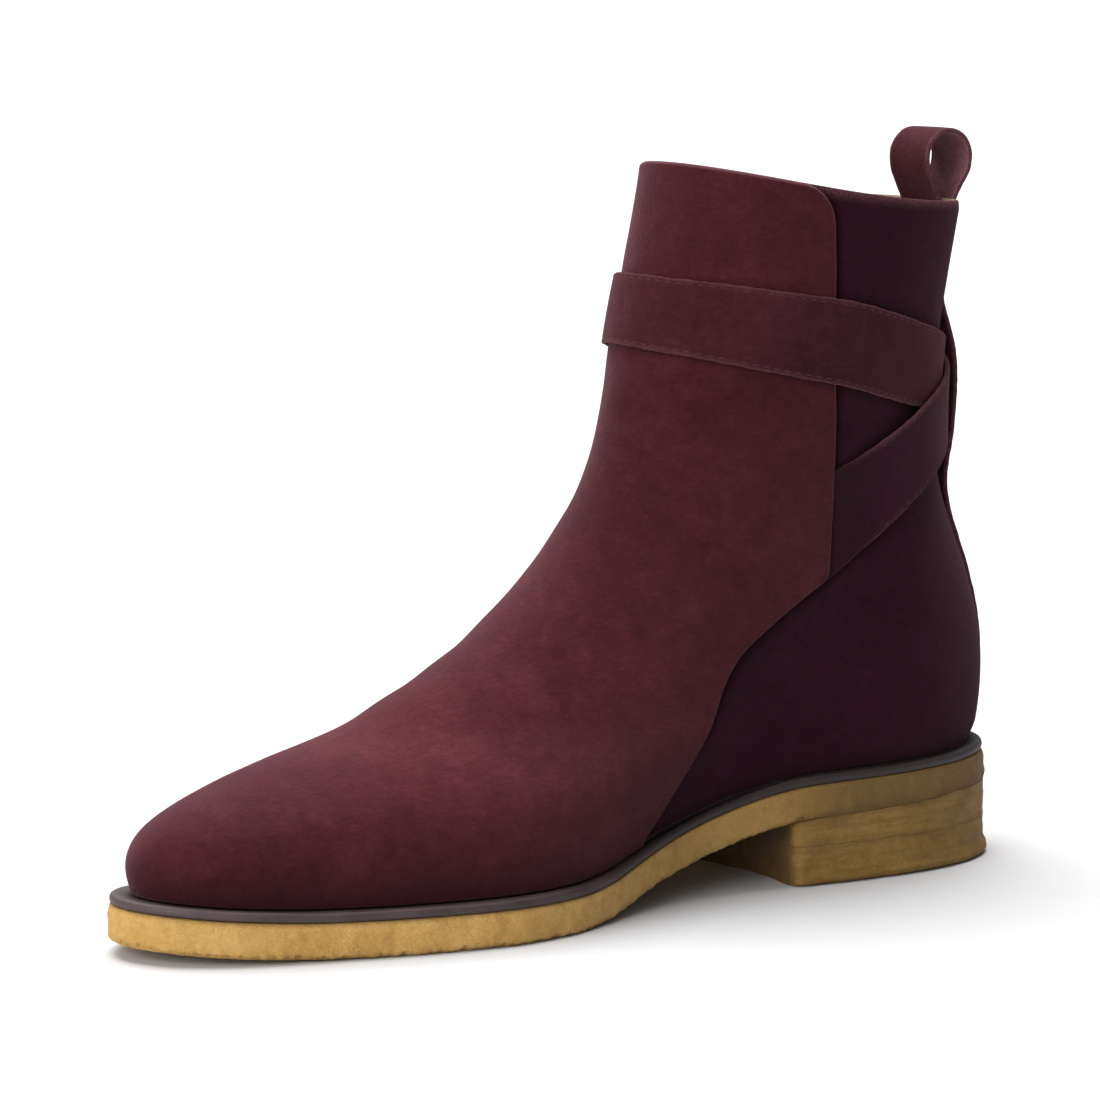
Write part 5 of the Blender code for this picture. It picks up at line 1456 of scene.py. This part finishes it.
def heel_piece(name, levels, node, seed, ragged):
    rings = np.array([heel_ring(i, z) for i, z, _ in levels])
    k, n = rings.shape[:2]
    d = np.roll(rings, -1, 1)[..., :2] - np.roll(rings, 1, 1)[..., :2]
    nor = np.stack([d[..., 1], -d[..., 0]], -1)
    nor /= np.linalg.norm(nor, axis=-1, keepdims=True)
    wav = 0.16 * wobble(rings, 18.0, seed) + 0.13 * wobble(rings, 5.5, seed + 1) + 0.08 * wobble(rings, 2.4, seed + 2)
    rings[..., :2] += nor * (wav[..., None])
    if ragged:
        low = 0.22 * np.abs(wobble(rings[0], 4.0, 9)) + 0.1 * np.abs(wobble(rings[0], 1.6, 11))
        rings[1, :, 2] += low
        rings[2, :, 2] += low * 0.6
    shade = np.repeat([[c] for _, _, c in levels], n, 1)
    # painted shade on the hollow breast under the arch, the line between layers uneven
    shade *= 0.75 + 0.35 * wobble(rings, 15.0, seed + 2)
    breast = np.zeros(n)
    breast[-60:] = smoothstep(np.minimum(np.arange(60), np.arange(60)[::-1]) / 4.0)
    shade = np.clip(np.maximum(shade, 0.62 * breast[None]), 0, 1).ravel()
    verts = [rings.reshape(-1, 3)]
    faces = [quads(k, n, wrap_c=True)]
    # flat faces: rings shrinking to the middle
    count = k * n
    for base, ring in ((0, rings[0]), ((k - 1) * n, rings[-1])):
        c = ring.mean(0)
        prev = base + np.arange(n)
        for f in (0.93, 0.82, 0.68, 0.52, 0.35, 0.18):
            q = c + (ring - c) * f
            q[:, 2] = (ring[:, 2] if base == 0 or levels[-1][1] >= 0
                       else sole_rise(q[:, 1]) + joint_rise(q[:, 1]) + levels[-1][1])
            if base == 0 and ragged:
                q[:, 2] = levels[0][1] + 0.10 * np.abs(wobble(q, 6.0, 3)) + 0.06 * np.abs(wobble(q, 2.4, 4))
            cur = count + np.arange(n)
            verts.append(q)
            nx = np.roll(np.arange(n), -1)
            blk = np.stack([prev, prev[nx], cur[nx], cur], -1)
            faces.append(blk if base else blk[:, ::-1])
            prev = cur
            count += n
        last = c.copy()
        last[2] = verts[-1][:, 2].mean()
        verts.append(last[None])
        nx = np.roll(np.arange(n), -1)
        faces.append([(prev[i], prev[nx[i]], count) for i in range(n)])
        count += 1
    verts = np.concatenate(verts)
    allf = [tuple(f) for block in faces for f in block]
    sh = np.zeros(len(verts))
    sh[:k * n] = shade
    which = np.zeros(len(allf), int)
    which[len(faces[0]):len(faces[0]) + 6 * n + n] = 1
    ob = make(name, verts, allf, [CREPE_HEEL_SHADED, CREPE_FACE], which, {"shade": sh})
    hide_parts(node)


heel_piece("heel_wearing_layer", [  # inset, height, shade
    (1.3, 0.0, 0.0), (0.5, 0.12, 0.0), (-0.45, 0.5, 0.0), (-1.05, 1.1, 0.0), (-1.20, 2.0, 0.0), (-0.95, 2.9, 0.0),
    (-0.50, 3.6, 0.05), (-0.18, 4.4, 0.0), (-0.04, 5.6, 0.0), (0.0, 7.0, 0.0), (0.03, 8.4, 0.0), (0.04, 9.8, 0.03),
    (0.05, 10.9, 0.16), (0.06, 11.46, 0.20)], "heel_top_piece", 5, True)
heel_piece("heel_upper_layer", [
    (0.06, TOP_PIECE + 0.06, 0.20), (0.05, TOP_PIECE + 0.60, 0.16), (0.05, TOP_PIECE + 1.9, 0.02),
    (0.05, -5.0, 0.0), (0.05, -3.4, 0.0), (0.04, -1.6, 0.08), (0.04, -0.65, 0.25), (0.10, -0.01, 0.40)],
    "heel_lift", 7, False)


# ------------------------------------------------------------------ footbed
def insole_piece():
    n = 200
    ph = grid_angles(n)
    up = 2 * GAP + WELT
    spec = [(7.2, GAP + 0.15, 0), (7.2, up, 0), (WALL + 1.1, up, 0), (WALL + 1.0, up + 1.2, 0), (WALL + 1.1, up + 2.2, 0),
            (WALL + 1.6, up + 2.9, 0), (WALL + 2.6, up + 3.2, 0), (WALL + 4.0, up + 3.25, 0)]
    rings = []
    for ins, h, _ in spec:
        xs = plan_ring(ph, np.full(n, -ins))
        rings.append(np.concatenate([xs, (sole_rise(xs[:, 1]) + OUTSOLE + h)[:, None]], 1))
    rings = np.array(rings)
    half, m = n // 2, 30
    verts, faces = [rings.reshape(-1, 3)], [quads(len(rings), n, wrap_c=True)]
    count = rings.size // 3
    frac = np.linspace(0, 1, m + 2)[1:-1]
    for base, ring in ((0, rings[0]), ((len(rings) - 1) * n, rings[-1])):
        grid = np.array([ring[r] + (ring[n - r] - ring[r]) * frac[:, None] for r in range(1, half)])
        if base:
            w = 4 * frac * (1 - frac)
            grid[..., 2] -= 0.9 * w[None] * np.exp(-((grid[..., 1] - 40) / 45.0) ** 2)
            grid[..., 2] += 0.10 * wobble(grid, 24.0, 3)
        idx = np.zeros((half - 1, m + 2), int)
        idx[:, 1:-1] = count + np.arange((half - 1) * m).reshape(half - 1, m)
        idx[:, 0] = base + np.arange(1, half)
        idx[:, -1] = base + n - np.arange(1, half)
        q = np.stack([idx[:-1, :-1], idx[:-1, 1:], idx[1:, 1:], idx[1:, :-1]], -1).reshape(-1, 4)
        faces.append(q if base else q[:, ::-1])
        faces.append([(idx[row, j], idx[row, j + 1], pole) for row, pole in ((0, base), (half - 2, base + half))
                      for j in range(m + 1)])
        verts.append(grid.reshape(-1, 3))
        count += grid.size // 3
    verts = np.concatenate(verts)
    allf = [tuple(f) for block in faces for f in block]
    ob = make("footbed", verts, allf, [FOOTBED], None, {"shade": np.zeros(len(verts))})
    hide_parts("insole")


insole_piece()


# ------------------------------------------------------------------ stage
def floor_piece():
    me = bpy.data.meshes.new("floor")
    r = 60.0
    me.from_pydata([(-r, -r, 0), (r, -r, 0), (r, r, 0), (-r, r, 0)], [], [(0, 1, 2, 3)])
    n = Nodes("floor_paper", 0.85)
    tone = n.noise(3.0, 2.0, 0.5)
    me.materials.append(n.done(n.mix(tone, (0.53, 0.53, 0.53), (0.545, 0.545, 0.545))))
    ob = bpy.data.objects.new("floor", me)
    bpy.context.scene.collection.objects.link(ob)


floor_piece()


def sun(name, strength, angle, toward, colour=(1, 1, 1)):
    """Soft light from the direction given (from the boot to the light)."""
    li = bpy.data.lights.new(name, "SUN")
    li.energy, li.angle, li.color = strength, math.radians(angle), colour
    ob = bpy.data.objects.new(name, li)
    ob.rotation_mode = "QUATERNION"
    ob.rotation_quaternion = Vector(toward).to_track_quat("Z", "Y")
    bpy.context.scene.collection.objects.link(ob)


sun("key", 5.8, 58.0, (-0.33, 0.12, 0.94))
sun("left", 3.6, 50.0, (0.30, -0.89, 0.33))

w = bpy.data.worlds.new("studio")
w.use_nodes = True
wt = w.node_tree
bg = wt.nodes["Background"]
tc = wt.nodes.new("ShaderNodeTexCoord")
sep = wt.nodes.new("ShaderNodeSeparateXYZ")
ramp = wt.nodes.new("ShaderNodeValToRGB")
wt.links.new(tc.outputs["Generated"], sep.inputs[0])
wt.links.new(sep.outputs["Z"], ramp.inputs[0])
wt.links.new(ramp.outputs[0], bg.inputs["Color"])
ramp.color_ramp.elements[0].position, ramp.color_ramp.elements[0].color = 0.04, (1.0, 1.0, 1.0, 1)
ramp.color_ramp.elements[1].position, ramp.color_ramp.elements[1].color = 0.10, (0.15, 0.15, 0.165, 1)
bg.inputs["Strength"].default_value = 1.0
bpy.context.scene.world = w

cam = bpy.data.cameras.new("camera")
cam.angle = math.radians(11.76)
cam.clip_start, cam.clip_end = 0.05, 200.0
eye = bpy.data.objects.new("camera", cam)
eye.location = (1.1876, -0.9015, 0.2832)
eye.rotation_mode = "QUATERNION"
eye.rotation_quaternion = Vector((-0.7926, 0.5972, -0.1231)).to_track_quat("-Z", "Y")
bpy.context.scene.collection.objects.link(eye)
bpy.context.scene.camera = eye
bpy.context.scene.view_settings.view_transform = "Standard"
